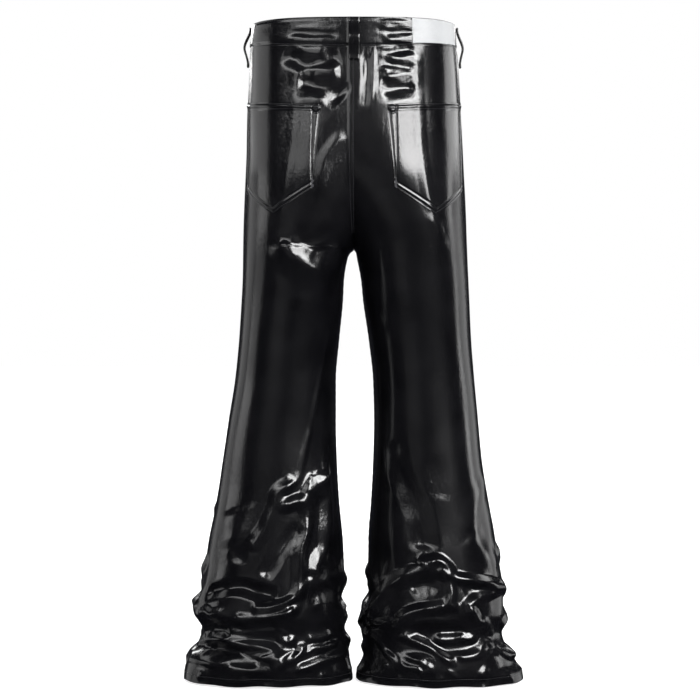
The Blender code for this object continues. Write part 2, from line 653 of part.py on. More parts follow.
def build():
    for thing in list(bpy.data.objects):
        bpy.data.objects.remove(thing)
    cloth = make_material("coated_denim", (0.010, 0.010, 0.012), 0.18, coat=0.6)
    trim = make_material("blank_patch", (0.86, 0.87, 0.88), 0.45)
    metal = make_material("button_metal", (0.10, 0.10, 0.11), 0.30, metallic=1.0)
    jeans = bpy.data.objects.new("jeans", None)
    bpy.context.collection.objects.link(jeans)
    paths = fold_paths()
    grid = build_grid(paths)
    for side in SIGN:
        for face in ("back", "front"):
            leg_panel(grid, side, face, cloth, jeans)
        pocket(grid, side, cloth, jeans)
    waistband(paths, cloth, jeans)
    for row in LOOPS:
        belt_loop(paths, row, cloth, jeans)
    patch(paths, trim, jeans)
    fly(grid, cloth, jeans)
    button(paths, metal, jeans)


build()
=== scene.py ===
"""The looks of flared jeans in glossy coated denim, in the shape they have when worn.

Metres, +Z up, in the frame's own axes: the garment's front faces -Y, left is the wearer's left, at +X, and the
origin is the middle of the waist opening. All tables are in millimetres.

The cloth lies on the same surface as the solids: a stack of level sections, where a place is given by side,
turn and drop. turn runs from 0 at the middle of the back (below the crotch, the inseam), through 1 at the side
seam, to 2 at the middle of the front (the inseam again). drop is the distance below the waist. arc is a turn as
a distance along the cloth.
"""

import math

import bpy
import numpy as np
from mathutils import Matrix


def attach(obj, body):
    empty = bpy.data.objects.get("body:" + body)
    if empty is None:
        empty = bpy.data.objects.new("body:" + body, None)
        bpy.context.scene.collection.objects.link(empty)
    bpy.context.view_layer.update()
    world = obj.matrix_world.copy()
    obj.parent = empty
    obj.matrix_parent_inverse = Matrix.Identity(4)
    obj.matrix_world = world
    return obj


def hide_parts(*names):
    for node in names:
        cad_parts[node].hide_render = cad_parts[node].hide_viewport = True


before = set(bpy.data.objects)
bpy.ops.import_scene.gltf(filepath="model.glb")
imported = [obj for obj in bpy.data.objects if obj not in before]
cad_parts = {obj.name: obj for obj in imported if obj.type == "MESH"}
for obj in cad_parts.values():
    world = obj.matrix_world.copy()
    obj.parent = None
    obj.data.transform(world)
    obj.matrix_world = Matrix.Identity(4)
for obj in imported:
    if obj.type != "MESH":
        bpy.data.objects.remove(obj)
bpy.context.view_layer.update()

MM = 0.001
SIGN = {"left": 1.0, "right": -1.0}

# ---------------------------------------------------------------- sizes, in millimetres

SEAM_GAP = 0.3
CLOTH_THICK = 1.5
BAND_THICK = 2.6
LAID_ON = 0.7
POCKET_THICK = 1.1
PATCH_THICK = 1.0

BAND_BACK, BAND_SIDE, BAND_FRONT = 46.0, 35.0, 40.0
BAND_EASE_END = 160.0
SEAT_START = 165.0
SEAT_ROUND = 2.3
CROTCH = 344.0
LEG_CENTRED = 470.0
HEM = 1008.0
SIDE_SEAM_FORWARD = 10.0
QUARTER_STEPS, QUARTER_CROWDING = 70, 2.5  # a section's points, which crowd towards its inner ends

SECTION_COLUMNS = (
    "drop", "outer_left", "outer_right", "inner_left", "inner_right", "back", "front", "middle", "square",
)
SECTIONS = (
    (0, 157, 156, 0, 0, 110, 109, 0.00, 2.75),
    (34, 160, 158, 0, 0, 112, 111, 0.00, 2.74),
    (65, 161, 161, 0, 0, 114.5, 112.5, 0.00, 2.71),
    (100, 163, 163, 0, 0, 118, 114, 0.04, 2.64),
    (140, 165, 165, 0, 0, 122, 115, 0.13, 2.54),
    (190, 166, 168, 0, 0, 126, 116, 0.25, 2.43),
    (236, 168, 170, 0, 0, 128, 116, 0.35, 2.36),
    (298, 170, 173, 0, 0, 124, 115, 0.46, 2.30),
    (344, 171.6, 175, 0.15, 0.15, 117, 112, 0.50, 2.264),
    (348, 171.7, 175.2, 5, 3, 116.4, 111.7, 0.50, 2.261),
    (356, 171.9, 175.5, 9.5, 4.4, 115.1, 111.1, 0.50, 2.255),
    (391, 172.6, 176.9, 15.5, 11, 109, 108, 0.50, 2.23),
    (422, 174, 178.2, 17, 14, 104, 105, 0.50, 2.215),
    (484, 178, 181, 23, 23, 95, 98, 0.50, 2.20),
    (546, 184, 186, 28, 29.5, 89, 93, 0.50, 2.20),
    (608, 194, 192, 28, 31, 87, 90, 0.50, 2.20),
    (670, 203, 198, 26.4, 29.5, 89, 90, 0.50, 2.20),
    (732, 212, 208, 23, 26.4, 92, 91, 0.50, 2.20),
    (794, 225, 218, 17, 22, 96, 93, 0.50, 2.20),
    (840, 233, 226, 15, 22, 99, 95, 0.50, 2.20),
    (871, 242, 232, 14, 18.6, 102, 98, 0.50, 2.20),
    (902, 248, 235, 14, 11, 104, 101, 0.50, 2.20),
    (933, 236, 229, 14, 11, 94, 91, 0.50, 2.20),
    (949, 236, 236, 9.3, 14, 95, 91, 0.50, 2.20),
    (964, 253, 243, 7.8, 15.5, 101, 97, 0.50, 2.20),
    (980, 259, 248, 6, 11, 102, 97, 0.50, 2.20),
    (995, 263, 259, 3, 4, 100, 95, 0.50, 2.20),
    (1008, 264, 262, 2, 3, 98, 93, 0.50, 2.20),
)

# The folds, with one row for each. height is how far the cloth stands out, or in where it is negative, and
# width sets how wide the flanks are. On the back and the front the path is (distance from the middle of the
# body, drop). OUTSIDE has (distance along the cloth from the side seam, forwards, drop), and INSIDE the same
# from the inseam, backwards. tip is how round the crest is, as a share of the width, where it isn't
# FOLD_TIP_SHARE.
FOLD_COLUMNS = ("height", "width", "path", "tip")
WAIST_LEFT = (
    (1.0, 5, ((101, 34), (59, 33), (13, 37)), 0.6),
    (0.7, 5, ((75, 17), (44, 20), (14, 19)), 0.6),
    (-1.0, 4, ((104, 26), (62, 26), (20, 28)), 0.6),
    (-3.2, 8, ((106, 54), (92, 65), (72, 72), (50, 69), (20, 57)), 0.5),
    (1.6, 8, ((86, 53), (64, 55), (38, 50)), 0.6),
    (2.2, 16, ((70, 86), (46, 86), (18, 80)), 0.8),
    (-4.2, 11, ((88, 100), (58, 104), (36, 110), (14, 126)), 0.5),
    (1.6, 5, ((89, 110), (74, 112), (56, 120), (40, 132)), 0.5),
    (1.2, 5, ((84, 122), (66, 126), (50, 134)), 0.5),
    (1.3, 6, ((89, 63), (88, 132), (94, 201), (103, 268), (115, 296))),
    (1.8, 7, ((13, 173), (30, 194), (43, 215), (48, 234), (57, 268))),
)
WAIST_RIGHT = (
    (1.0, 5, ((36, 13), (64, 11), (88, 13)), 0.7),
    (-1.3, 4, ((42, 25), (68, 24), (90, 27)), 0.6),
    (1.1, 5, ((40, 36), (66, 38), (92, 36)), 0.7),
    (-3.0, 6, ((54, 48), (72, 51), (93, 46)), 0.5),
    (1.4, 6, ((46, 64), (70, 66), (93, 60)), 0.7),
    (-1.6, 5, ((44, 77), (68, 76), (90, 80)), 0.6),
    (1.6, 8, ((40, 91), (66, 88), (90, 86)), 0.8),
    (-3.0, 8, ((38, 112), (66, 109), (93, 103)), 0.5),
    (1.3, 6, ((93, 57), (96, 132), (100, 200), (110, 268), (124, 296))),
    (0.9, 4, ((27, 49), (28, 84), (27, 123))),
    (-1.2, 5, ((17, 52), (19, 90), (15, 140))),
)
SEAT_LEFT = (
    (-1.2, 3, ((112, 326), (90, 340), (66, 336), (36, 322), (15, 308)), 0.5),
    (8.5, 15, ((110, 332), (101, 348), (90, 362), (72, 375), (56, 380), (40, 374), (28, 362),
     (18, 348)), 0.3),
    (0.5, 3, ((74, 370), (64, 354), (52, 342))),
    (0.5, 3, ((58, 374), (46, 356), (32, 338))),
    (0.5, 3, ((42, 368), (34, 350), (22, 332))),
)
SEAT_RIGHT = (
    (1.6, 6, ((110, 295), (124, 315), (129, 334), (140, 349))),
)
THIGH_LEFT = (
    (1.6, 4, ((26, 408), (40, 484), (53, 552), (64, 613))),
    (1.2, 4, ((64, 613), (73, 644), (80, 674), (87, 695), (111, 711))),
)
THIGH_RIGHT = (
    (1.2, 6, ((30, 440), (40, 456), (54, 470))),
)
CALF_LEFT = (
    (4.5, 8, ((87, 695), (111, 711), (117, 729), (132, 764), (152, 792), (160, 803))),
    (6.0, 7, ((114, 729), (102, 732), (83, 727), (72, 738), (72, 760), (75, 781), (81, 809), (86, 879))),
    (6.0, 9, ((50, 683), (43, 703), (41, 723), (41, 772), (44, 799), (57, 821), (66, 843))),
    (6.0, 14, ((82, 708), (69, 710), (57, 704), (49, 691), (50, 675)), 0.3),
    (4.5, 13, ((73, 838), (60, 848), (45, 845), (33, 830)), 0.3),
    (0.5, 3, ((60, 838), (56, 815), (59, 790))),
    (0.5, 3, ((47, 838), (44, 812), (49, 784))),
    (0.5, 3, ((72, 704), (66, 690), (64, 676))),
    (0.5, 3, ((60, 702), (57, 688), (60, 674))),
    (-4.0, 9, ((80, 760), (107, 797), (140, 844))),
    (3.0, 18, ((180, 735), (175, 793))),
    (-2.5, 7, ((187, 800), (173, 810), (157, 805))),
    (-8.0, 7, ((227, 869), (179, 856), (146, 862), (114, 870)), 0.5),
    (5.0, 5, ((158, 888), (124, 884), (100, 876), (88, 864))),
)
STACK_LEFT = (
    (4.0, 5, ((238, 902), (225, 895), (216, 899), (193, 891))),
    (6.0, 7, ((185, 905), (159, 906), (138, 901), (107, 895), (93, 888), (89, 881))),
    (-6.0, 8, ((226, 920), (196, 917), (110, 915))),
    (4.5, 6, ((197, 924), (172, 924), (138, 921), (113, 921), (110, 929), (102, 938), (86, 928))),
    (6.5, 7, ((228, 943), (200, 937), (180, 941), (152, 946), (129, 950), (113, 959), (104, 981))),
    (-4.0, 8, ((225, 956), (187, 955), (138, 966))),
    (3.0, 5, ((254, 972), (231, 970), (207, 973), (190, 966), (182, 962))),
    (2.0, 5, ((199, 978), (162, 981), (123, 984))),
    (2.5, 4, ((122, 970), (119, 984), (111, 992))),
    (4.5, 5, ((77, 933), (53, 935), (33, 931), (27, 941), (41, 948), (63, 950), (72, 960))),
    (4.0, 5, ((83, 936), (80, 952), (87, 975))),
    (5.0, 6, ((93, 983), (69, 976), (41, 968), (24, 963), (11, 963))),
    (4.0, 5, ((24, 905), (18, 896), (14, 891))),
    (-5.0, 9, ((69, 871), (41, 864), (17, 869))),
    (2.2, 4, ((228, 984), (236, 1004))),
    (2.4, 4, ((168, 988), (160, 1008))),
    (-2.2, 5, ((128, 990), (130, 1008))),
    (2.4, 4, ((92, 986), (84, 1008))),
    (2.0, 4, ((44, 984), (52, 1006))),
)
CALF_RIGHT = (
    (-4.0, 13, ((58, 632), (71, 688), (90, 731), (101, 759), (105, 803))),
    (-0.7, 9, ((118, 654), (127, 687), (130, 727)), 0.7),
    (1.5, 9, ((200, 695), (185, 731), (174, 778)), 0.7),
    (1.8, 10, ((171, 777), (191, 799), (219, 832)), 0.7),
    (6.5, 8, ((93, 809), (107, 824), (84, 838), (60, 852), (44, 869), (27, 893), (17, 905))),
    (6.5, 6, ((108, 819), (126, 815), (140, 825), (150, 839), (166, 844), (208, 853), (227, 860))),
    (-4.0, 8, ((162, 860), (187, 858))),
    (5.0, 6, ((227, 861), (205, 867), (184, 876), (170, 885), (164, 891))),
    (4.5, 5, ((116, 822), (132, 836), (143, 849), (146, 865), (144, 879), (159, 892))),
    (2.5, 4, ((123, 824), (138, 833), (147, 845))),
    (-5.0, 10, ((81, 860), (107, 852), (129, 862))),
)
STACK_RIGHT = (
    (6.5, 6, ((144, 880), (126, 885), (104, 888), (84, 894), (72, 902), (68, 912), (71, 923))),
    (6.0, 6, ((71, 923), (83, 933), (99, 940), (113, 946), (126, 954), (143, 967), (149, 978))),
    (-5.0, 9, ((87, 915), (129, 920), (167, 922))),
    (3.5, 5, ((17, 906), (33, 913), (50, 911), (66, 910))),
    (2.5, 4, ((84, 908), (116, 907), (140, 910), (166, 916))),
    (2.5, 4, ((117, 928), (144, 929), (170, 930))),
    (5.0, 5, ((165, 900), (178, 893), (184, 906), (184, 920), (177, 932), (160, 934), (116, 935))),
    (3.5, 5, ((187, 903), (205, 926), (215, 938))),
    (3.0, 5, ((149, 959), (170, 959), (187, 953), (197, 941), (215, 946))),
    (3.0, 4, ((66, 960), (77, 975), (96, 978), (104, 990), (108, 995))),
    (3.0, 4, ((80, 965), (96, 965), (107, 973), (113, 976), (111, 990))),
    (3.0, 5, ((18, 923), (35, 940), (54, 961), (83, 992))),
    (2.5, 4, ((44, 982), (54, 970))),
    (3.0, 5, ((137, 970), (149, 990), (158, 1002))),
    (4.0, 6, ((211, 946), (232, 962), (250, 976), (257, 996))),
    (2.5, 4, ((187, 996), (196, 986), (204, 973))),
    (2.4, 4, ((228, 980), (240, 1006))),
    (-2.2, 5, ((196, 990), (190, 1008))),
    (2.4, 4, ((132, 986), (122, 1008))),
    (-2.4, 5, ((96, 992), (90, 1008))),
    (2.4, 4, ((62, 984), (70, 1008))),
    (2.0, 4, ((24, 970), (34, 1004))),
)
LAP_LEFT = (
    (-2.4, 9, ((18, 296), (52, 280), (96, 262), (138, 250))),
    (2.0, 7, ((14, 318), (44, 306), (82, 292))),
    (1.6, 6, ((22, 338), (48, 342), (74, 336))),
)
LAP_RIGHT = (
    (-2.4, 9, ((18, 302), (60, 284), (104, 272), (142, 262))),
    (2.0, 7, ((16, 324), (50, 314), (88, 304))),
    (1.4, 6, ((24, 346), (52, 350), (80, 344))),
)
KNEE_LEFT = (
    (2.4, 9, ((52, 572), (92, 584), (130, 586), (168, 572))),
    (-2.0, 9, ((60, 604), (108, 612), (160, 600))),
    (1.6, 6, ((74, 628), (118, 640), (150, 636))),
)
KNEE_RIGHT = (
    (2.4, 9, ((58, 592), (98, 602), (136, 600), (170, 584))),
    (-2.0, 9, ((66, 620), (112, 628), (160, 614))),
    (1.6, 6, ((52, 560), (88, 566), (124, 562))),
)
SHIN_LEFT = (
    (4.5, 8, ((222, 742), (188, 756), (150, 786), (120, 822), (98, 838))),
    (5.5, 8, ((58, 712), (68, 748), (66, 788), (88, 830))),
    (-4.5, 10, ((84, 756), (124, 792), (168, 810))),
    (3.5, 7, ((200, 800), (152, 816), (112, 808), (76, 820))),
    (6.5, 7, ((34, 858), (82, 878), (134, 886), (190, 873), (232, 876))),
    (-6.0, 9, ((44, 882), (110, 903), (200, 896))),
    (6.0, 6, ((224, 906), (178, 914), (128, 908), (86, 916), (48, 906))),
    (4.0, 6, ((190, 873), (174, 892), (178, 914))),
    (-4.5, 8, ((60, 930), (122, 934), (196, 928))),
    (6.5, 7, ((228, 941), (186, 950), (132, 961), (84, 952), (38, 957))),
    (4.0, 5, ((132, 961), (118, 978), (122, 994))),
    (3.5, 5, ((84, 952), (62, 972), (40, 980), (18, 972))),
    (3.0, 5, ((246, 966), (210, 974), (176, 970), (150, 984))),
)
SHIN_RIGHT = (
    (5.0, 8, ((44, 752), (80, 774), (118, 800), (164, 812), (208, 802))),
    (-4.5, 10, ((66, 806), (112, 832), (170, 838))),
    (4.0, 7, ((188, 716), (178, 752), (186, 790))),
    (6.0, 7, ((30, 872), (74, 862), (120, 876), (162, 866), (218, 874))),
    (4.5, 5, ((120, 876), (108, 894), (118, 912))),
    (-6.0, 9, ((42, 896), (92, 908), (190, 900))),
    (6.0, 6, ((20, 924), (66, 930), (118, 914), (170, 924), (222, 914))),
    (-4.5, 8, ((60, 944), (130, 940), (200, 944))),
    (6.0, 7, ((26, 962), (78, 970), (130, 958), (184, 966), (236, 962))),
    (3.5, 5, ((130, 958), (144, 980), (136, 996))),
    (3.0, 5, ((250, 982), (214, 988), (182, 980))),
)
OUTSIDE_LEFT = (
    (4.5, 7, ((-44, 812), (-8, 838), (34, 832))),
    (-5.0, 8, ((-48, 862), (-4, 872), (44, 864))),
    (5.5, 7, ((-54, 896), (-16, 884), (22, 892), (52, 876))),
    (-5.0, 8, ((-50, 926), (0, 918), (48, 928))),
    (5.5, 7, ((-52, 944), (-10, 954), (28, 944), (54, 950))),
    (3.0, 5, ((-40, 976), (-6, 972), (30, 982))),
)
OUTSIDE_RIGHT = (
    (4.0, 7, ((-38, 800), (4, 822), (40, 812))),
    (5.5, 7, ((-50, 862), (-10, 868), (30, 858), (56, 872))),
    (-5.0, 8, ((-46, 892), (4, 888), (46, 896))),
    (5.5, 7, ((-50, 926), (-14, 916), (24, 926), (54, 914))),
    (-4.5, 8, ((-44, 944), (0, 950), (44, 942))),
    (4.5, 6, ((-52, 966), (-8, 962), (34, 972))),
)
INSIDE_LEFT = (
    (4.5, 7, ((-44, 846), (-6, 856), (36, 848))),
    (-5.0, 8, ((-46, 884), (0, 878), (40, 886))),
    (5.0, 7, ((-48, 906), (-6, 914), (34, 904))),
    (5.0, 6, ((-46, 950), (0, 944), (30, 952))),
)
INSIDE_RIGHT = (
    (4.5, 7, ((-46, 830), (0, 842), (38, 836))),
    (-5.0, 8, ((-44, 876), (0, 872), (40, 880))),
    (5.0, 7, ((-44, 912), (0, 920), (30, 908))),
    (4.5, 6, ((-46, 966), (-4, 958), (32, 968))),
)
FOLDS = (
    ("left", "back", WAIST_LEFT),
    ("right", "back", WAIST_RIGHT),
    ("left", "back", SEAT_LEFT),
    ("right", "back", SEAT_RIGHT),
    ("left", "back", THIGH_LEFT),
    ("right", "back", THIGH_RIGHT),
    ("left", "back", CALF_LEFT),
    ("left", "back", STACK_LEFT),
    ("right", "back", CALF_RIGHT),
    ("right", "back", STACK_RIGHT),
    ("left", "front", LAP_LEFT),
    ("right", "front", LAP_RIGHT),
    ("left", "front", KNEE_LEFT),
    ("right", "front", KNEE_RIGHT),
    ("left", "front", SHIN_LEFT),
    ("right", "front", SHIN_RIGHT),
    ("left", "side", OUTSIDE_LEFT),
    ("right", "side", OUTSIDE_RIGHT),
    ("left", "inner", INSIDE_LEFT),
    ("right", "inner", INSIDE_RIGHT),
)
FOLD_TIP_SHARE = 0.36
FOLD_FLANK = 1.6  # a flank is this many widths wide
FOLD_FOOT = 0.05  # how round a fold's feet are, as a share of its flanks' height
FOLD_END, FOLD_END_MOST = 14.0, 0.4  # a fold rises over this length, or this share of its own length,
FOLD_END_SHARE = 0.1  # from this share of its height
FOLD_REACH = 6.0  # beyond this many widths a fold is nothing
FOLD_SWELLS = ((0.16, 17.0, 1), (0.08, 7.3, 2))  # its height swells by these shares, over these lengths
FOLD_PHASE = 2.4
PATH_STEP = 4.0

# The cloth's unevenness: heights and lengths of waves, how much slower they change one way, and where they are.
SEEDS = {"left": 3.0, "right": 5.0}
LONG_WAVE, LONG_WAVE_STACKED, LONG_WAVE_LENGTH, LONG_WAVE_SLANT = 0.35, 0.7, 95.0, 0.6
SMALL_WAVE, SMALL_WAVE_LENGTH, SMALL_WAVE_SLANT = 0.22, 38.0, 0.7
STACKED = (650.0, 800.0)  # the drops over which the legs start to stack
CALM = 26.0  # the waves fade out this near to a middle seam or inseam
LEVEL_CRUSH, LEVEL_CRUSH_LENGTH, LEVEL_CRUSH_SLANT = 0.42, 12.0, 0.24
UPRIGHT_CRUSH, UPRIGHT_CRUSH_LENGTH, UPRIGHT_CRUSH_SLANT = 0.20, 7.0, 0.16
CRUSH_SHARE = {"left": 0.45, "right": 1.0}
CRUSH_LOW, CRUSH_FAR = (100.0, 140.0), (82.0, 100.0)  # where the crushed cloth at the waist ends
CRUSH_TURNS = (28.0, 46.0)  # near the seam its creases are upright, and past this they are level
UPRIGHT_START, UPRIGHT_TOP = (9.0, 14.0), (30.0, 60.0)
WAVES = 6
WAVE_HEADING, WAVE_TURN, WAVE_PHASE = 1.7, 2.4, 1.3
WAVE_SHORTEST, WAVE_GROWTH = 0.75, 0.12

HEM_RISE_FROM, HEM_RISE, HEM_WAVE, HEM_WAVE_LENGTH = 40.0, 2.0, 1.5, 64.0  # how the hem's edge rises unevenly
PUCKER, PUCKER_LENGTH, PUCKER_WIDE, PUCKER_FULL = 0.25, 1.9, 7.0, 400.0
SEAM_DEEP, SEAM_WIDE = 0.8, 1.3

# The leg panels' grid.
BACK_COLUMNS, FRONT_COLUMNS = 150, 84
ROW_RUNS = (  # from, to, step
    (BAND_BACK, 150.0, 3.0),
    (150.0, 338.0, 4.7),
    (338.0, CROTCH, 1.5),
    (CROTCH, 356.0, 1.5),
    (356.0, 680.0, 6.0),
    (680.0, HEM, 2.0),
)

# Pockets: distances from the middle back along the cloth, and drops.
POCKET_TOP_INNER, POCKET_TOP_OUTER = 49.0, 201.0
POCKET_LOW_INNER, POCKET_LOW_OUTER = 62.0, 198.0
POCKET_TOP_DROP_INNER, POCKET_TOP_DROP_OUTER = 133.0, 124.0
POCKET_CORNER_DROP, POCKET_TIP_DROP = 256.0, 296.0
POCKET_COLUMNS, POCKET_ROWS = 116, 112
POCKET_HEM, POCKET_HEM_HIGH, POCKET_HEM_EDGE, BELOW_HEM = 8.0, 0.9, (9.0, 10.5), (8.0, 11.0)
POCKET_EAR, EAR_HIGH, EAR_EDGE, EAR_ROW = 7.0, 0.7, (4.8, 6.4), 6.6  # the round tab at each top corner
FACING_TOP, FACING_LOW = 13.0, 2.5  # the inner facing's width, which narrows downwards
POCKET_FOOT_SLOPE = 0.87
DOUBLE_ROW, OUTER_ROWS = (2.0, 8.0), (2.0, 7.5)  # stitches, from the edge

PATCH_FROM, PATCH_TO = 87.0, 178.0
PATCH_TOP, PATCH_LOW_FROM, PATCH_LOW_TO = 1.0, 38.5, 34.0
PATCH_LIFT, PATCH_STEPS = 0.4, (1.4, 1.5)
PATCH_ROWS, PATCH_COLUMNS, CLOTH_ROWS = 26, 60, 40

FLY_OVER, FLY_WIDE = 8.0, 36.0
FLY_TOP, FLY_LOW, FLY_CORNER, FLY_GAP = 43.0, 196.0, 150.0, 1.0
FLY_ROUND, FLY_THICK = 0.93, 1.3
FLY_ROWS, FLY_COLUMNS, FLY_STEPS = 76, 26, (2.0, 1.6)
FLY_STITCHES, FLY_STITCHED = (3.0, 9.0), (42.0, 150.0)

BAND_PROUD = 0.5
LAP_OVER, LAP_UNDER, LAP_SLOPE = 20.0, 12.0, (15.0, 49.0)
LAP_STEP = 3.5
BAND_ROWS = 18
BAND_STEP = 2.5
BAND_STITCHES = (3.0, BAND_BACK - 3.0)

LOOP_COLUMNS = ("name", "side", "distance", "face", "width", "low", "reach")
LOOPS = (
    ("loop_back", "left", 0.0, "back", 17.0, 64.0, 7.5),
    ("loop_side_left", "left", 0.0, "side", 15.0, 61.0, 7.6),
    ("loop_side_right", "right", 0.0, "side", 15.0, 62.0, 7.9),
    ("loop_front_left", "left", 62.0, "front", 15.0, 62.0, 10.0),
    ("loop_front_right", "right", 62.0, "front", 15.0, 62.0, 10.0),
)
LOOP_THICK, LOOP_TOP, LOOP_FLAT, LOOP_SEAT = 3.4, 0.8, 6.0, 1.5
LOOP_BOW, LOOP_BOW_POWER, LOOP_BOW_FLAT = 0.65, 1.2, 0.35
LOOP_ROUND, LOOP_ACROSS_POWER, LOOP_THROUGH_POWER = 16, 0.35, 0.6  # the strip's own section
LOOP_ROW, LOOP_ROW_DEEP, LOOP_ROW_WIDE = 3.0, 0.22, 1.3
LOOP_STEPS, LOOP_BELOW = 44, 0.9

BUTTON_DROP, BUTTON_ASIDE, BUTTON_LEAN, BUTTON_LIFT = 20.0, 5.0, 0.088, 0.7
BUTTON_SPOKES = 64
BUTTON_PROFILE = (  # radius and height, from the middle of the dome, over the rim, to the middle of the back
    (0.0, 2.7), (3.5, 2.6), (5.6, 2.3), (6.2, 2.2), (6.6, 2.9), (7.2, 3.2), (7.8, 3.0), (8.3, 2.4),
    (8.5, 1.8), (8.5, 0.6), (8.0, 0.1), (0.0, 0.1),
)

STITCH_LONG, STITCH_PITCH, STITCH_WIDE, STITCH_HIGH = 2.7, 3.5, 0.75, 0.42
STITCH_BODY, STITCH_LIFT, STITCH_SUNK = 0.22, 0.05, 0.2  # its full part, each way, as a share of its length
TACK_PITCH, TACK_TALL, TACK_WIDE, TACK_HIGH = 0.8, 2.2, 0.7, 0.5
POCKET_TACK, FELL_SEWN, BAND_END = 8.0, 322.0, 1.2
LOOP_TACK, LOOP_SEWN = 3, 0.86
ROW_POINTS, FOOT_POINTS, HEM_POINTS, FELL_POINTS, BAND_POINTS, LAP_POINTS = 90, 160, 260, 200, 900, 30
GROOVE_DEEP, GROOVE_WIDE = 0.85, 1.4  # the furrow that a row of stitches pulls into the cloth
HEM_TURN = 12.0

SCOOP_WIDE, SCOOP_LOW = 92.0, 142.0  # the front pockets' curved mouths, from the side seam and the waist
SCOOP_STEP, SCOOP_EDGE, SCOOP_FADE = 1.1, 0.9, (4.0, 40.0)
FELL_HIGH = 0.8  # the felled seam at the middle of the back
FELL_STEP = (7.9, 9.4)  # its edge
FELL_END = (300.0, 340.0)
FELL_ROWS = (1.6, 7.1)  # its two rows of stitches
SHALLOW = 0.2  # stitches in many layers sink this much as deep

CAMERA = (6.2, 3200.0, -499.0)
CAMERA_LENS = 106.2
FLOOR_DROP, FLOOR_REACH = 1009.5, 60000.0


# ---------------------------------------------------------------- tables


def smooth_step(low, high, value):
    t = np.clip((np.asarray(value, float) - low) / (high - low), 0, 1)
    return t * t * (3 - 2 * t)


SECTION_VALUES = {name: np.array(column, float) for name, column in zip(SECTION_COLUMNS, zip(*SECTIONS))}


def section_value(name, drop):
    """A section's value at a drop, on a monotone cubic through its rows."""
    drops, values = SECTION_VALUES["drop"], SECTION_VALUES[name]
    steps = np.diff(drops)
    slopes = np.diff(values) / steps
    tangents = np.zeros(len(drops))
    product = slopes[1:] * slopes[:-1]
    total = np.where(product > 0, slopes[1:] + slopes[:-1], 1.0)
    tangents[1:-1] = np.where(product > 0, 2 * product / total, 0.0)
    k = int(np.clip(np.searchsorted(drops, drop) - 1, 0, len(steps) - 1))
    t = (drop - drops[k]) / steps[k]
    ease = t * t * (3 - 2 * t)
    bend_in = t * (1 - t) ** 2 * tangents[k]
    bend_out = t * t * (t - 1) * tangents[k + 1]
    return float(values[k] * (1 - ease) + values[k + 1] * ease + steps[k] * (bend_in + bend_out))


# ---------------------------------------------------------------- the surface


def quarter(inner_reach, middle, reach, depth, square, edge_share):
    """Two stretches of a section on one face, from its inner end to its outer one, as x and y."""
    inward = (1 - np.linspace(0, 1, QUARTER_STEPS)) ** QUARTER_CROWDING
    share = (1 - inward)[::-1]
    x_in = middle - share * (middle - inner_reach)
    y_in = depth * np.maximum(1 - (edge_share * share) ** square, 0) ** (1 / square)
    angle = np.linspace(0, np.pi / 2, QUARTER_STEPS)[1:]
    x_out = middle + (reach - middle) * np.sin(angle) ** (2 / square)
    y_out = depth * np.maximum(np.cos(angle), 0) ** (2 / square)
    return np.concatenate([x_in, x_out]), np.concatenate([y_in, y_out])


class Section:
    """The level section of one side at a drop, measured along the cloth."""

    def __init__(self, side, drop):
        outer, inner = section_value("outer_" + side, drop), section_value("inner_" + side, drop)
        square = section_value("square", drop)
        if drop < CROTCH:
            under = max(0.0, (drop - SEAT_START) / (CROTCH - SEAT_START))
            chord = (1 - under**SEAT_ROUND) ** (1 / SEAT_ROUND)
            edge_share = (1 - chord**square) ** (1 / square)
            inner, middle = 0.0, section_value("middle", drop) * outer
        else:
            edge_share = 1.0
            middle = (outer + inner * float(smooth_step(CROTCH, LEG_CENTRED, drop))) / 2
        back = quarter(inner, middle, outer, section_value("back", drop), square, edge_share)
        front = quarter(inner, middle, outer, section_value("front", drop), square, edge_share)
        self.x = np.concatenate([back[0], front[0][::-1][1:]])
        self.y = np.concatenate([back[1], -front[1][::-1][1:]])
        self.arc = np.concatenate([[0], np.cumsum(np.hypot(np.diff(self.x), np.diff(self.y)))])
        self.length = float(self.arc[-1])
        self.widest = float(self.arc[len(back[0]) - 1])
        self.side_seam = self.widest + SIDE_SEAM_FORWARD
        self.back_points = len(back[0])

    def arc_of_turn(self, turn):
        turn = np.asarray(turn, float)
        front = self.side_seam + (turn - 1) * (self.length - self.side_seam)
        return np.where(turn <= 1, turn * self.side_seam, front)

    def turn_of_arc(self, arc):
        arc = np.asarray(arc, float)
        front = 1 + (arc - self.side_seam) / (self.length - self.side_seam)
        return np.where(arc <= self.side_seam, arc / self.side_seam, front)

    def arc_of_x(self, x, face):
        """How far along the cloth a point of one face lies."""
        if face == "back":
            return float(np.interp(abs(x), self.x[: self.back_points], self.arc[: self.back_points]))
        front = slice(None, self.back_points - 2, -1)
        return float(np.interp(abs(x), self.x[front], self.arc[front]))

    def at(self, arc):
        """Points and outward directions, both level, at these distances along the cloth."""
        x, y = np.interp(arc, self.arc, self.x), np.interp(arc, self.arc, self.y)
        step = 2.0
        dx = np.interp(arc + step, self.arc, self.x) - np.interp(arc - step, self.arc, self.x)
        dy = np.interp(arc + step, self.arc, self.y) - np.interp(arc - step, self.arc, self.y)
        length = np.maximum(np.hypot(dx, dy), 1e-9)
        return x, y, -dy / length, dx / length


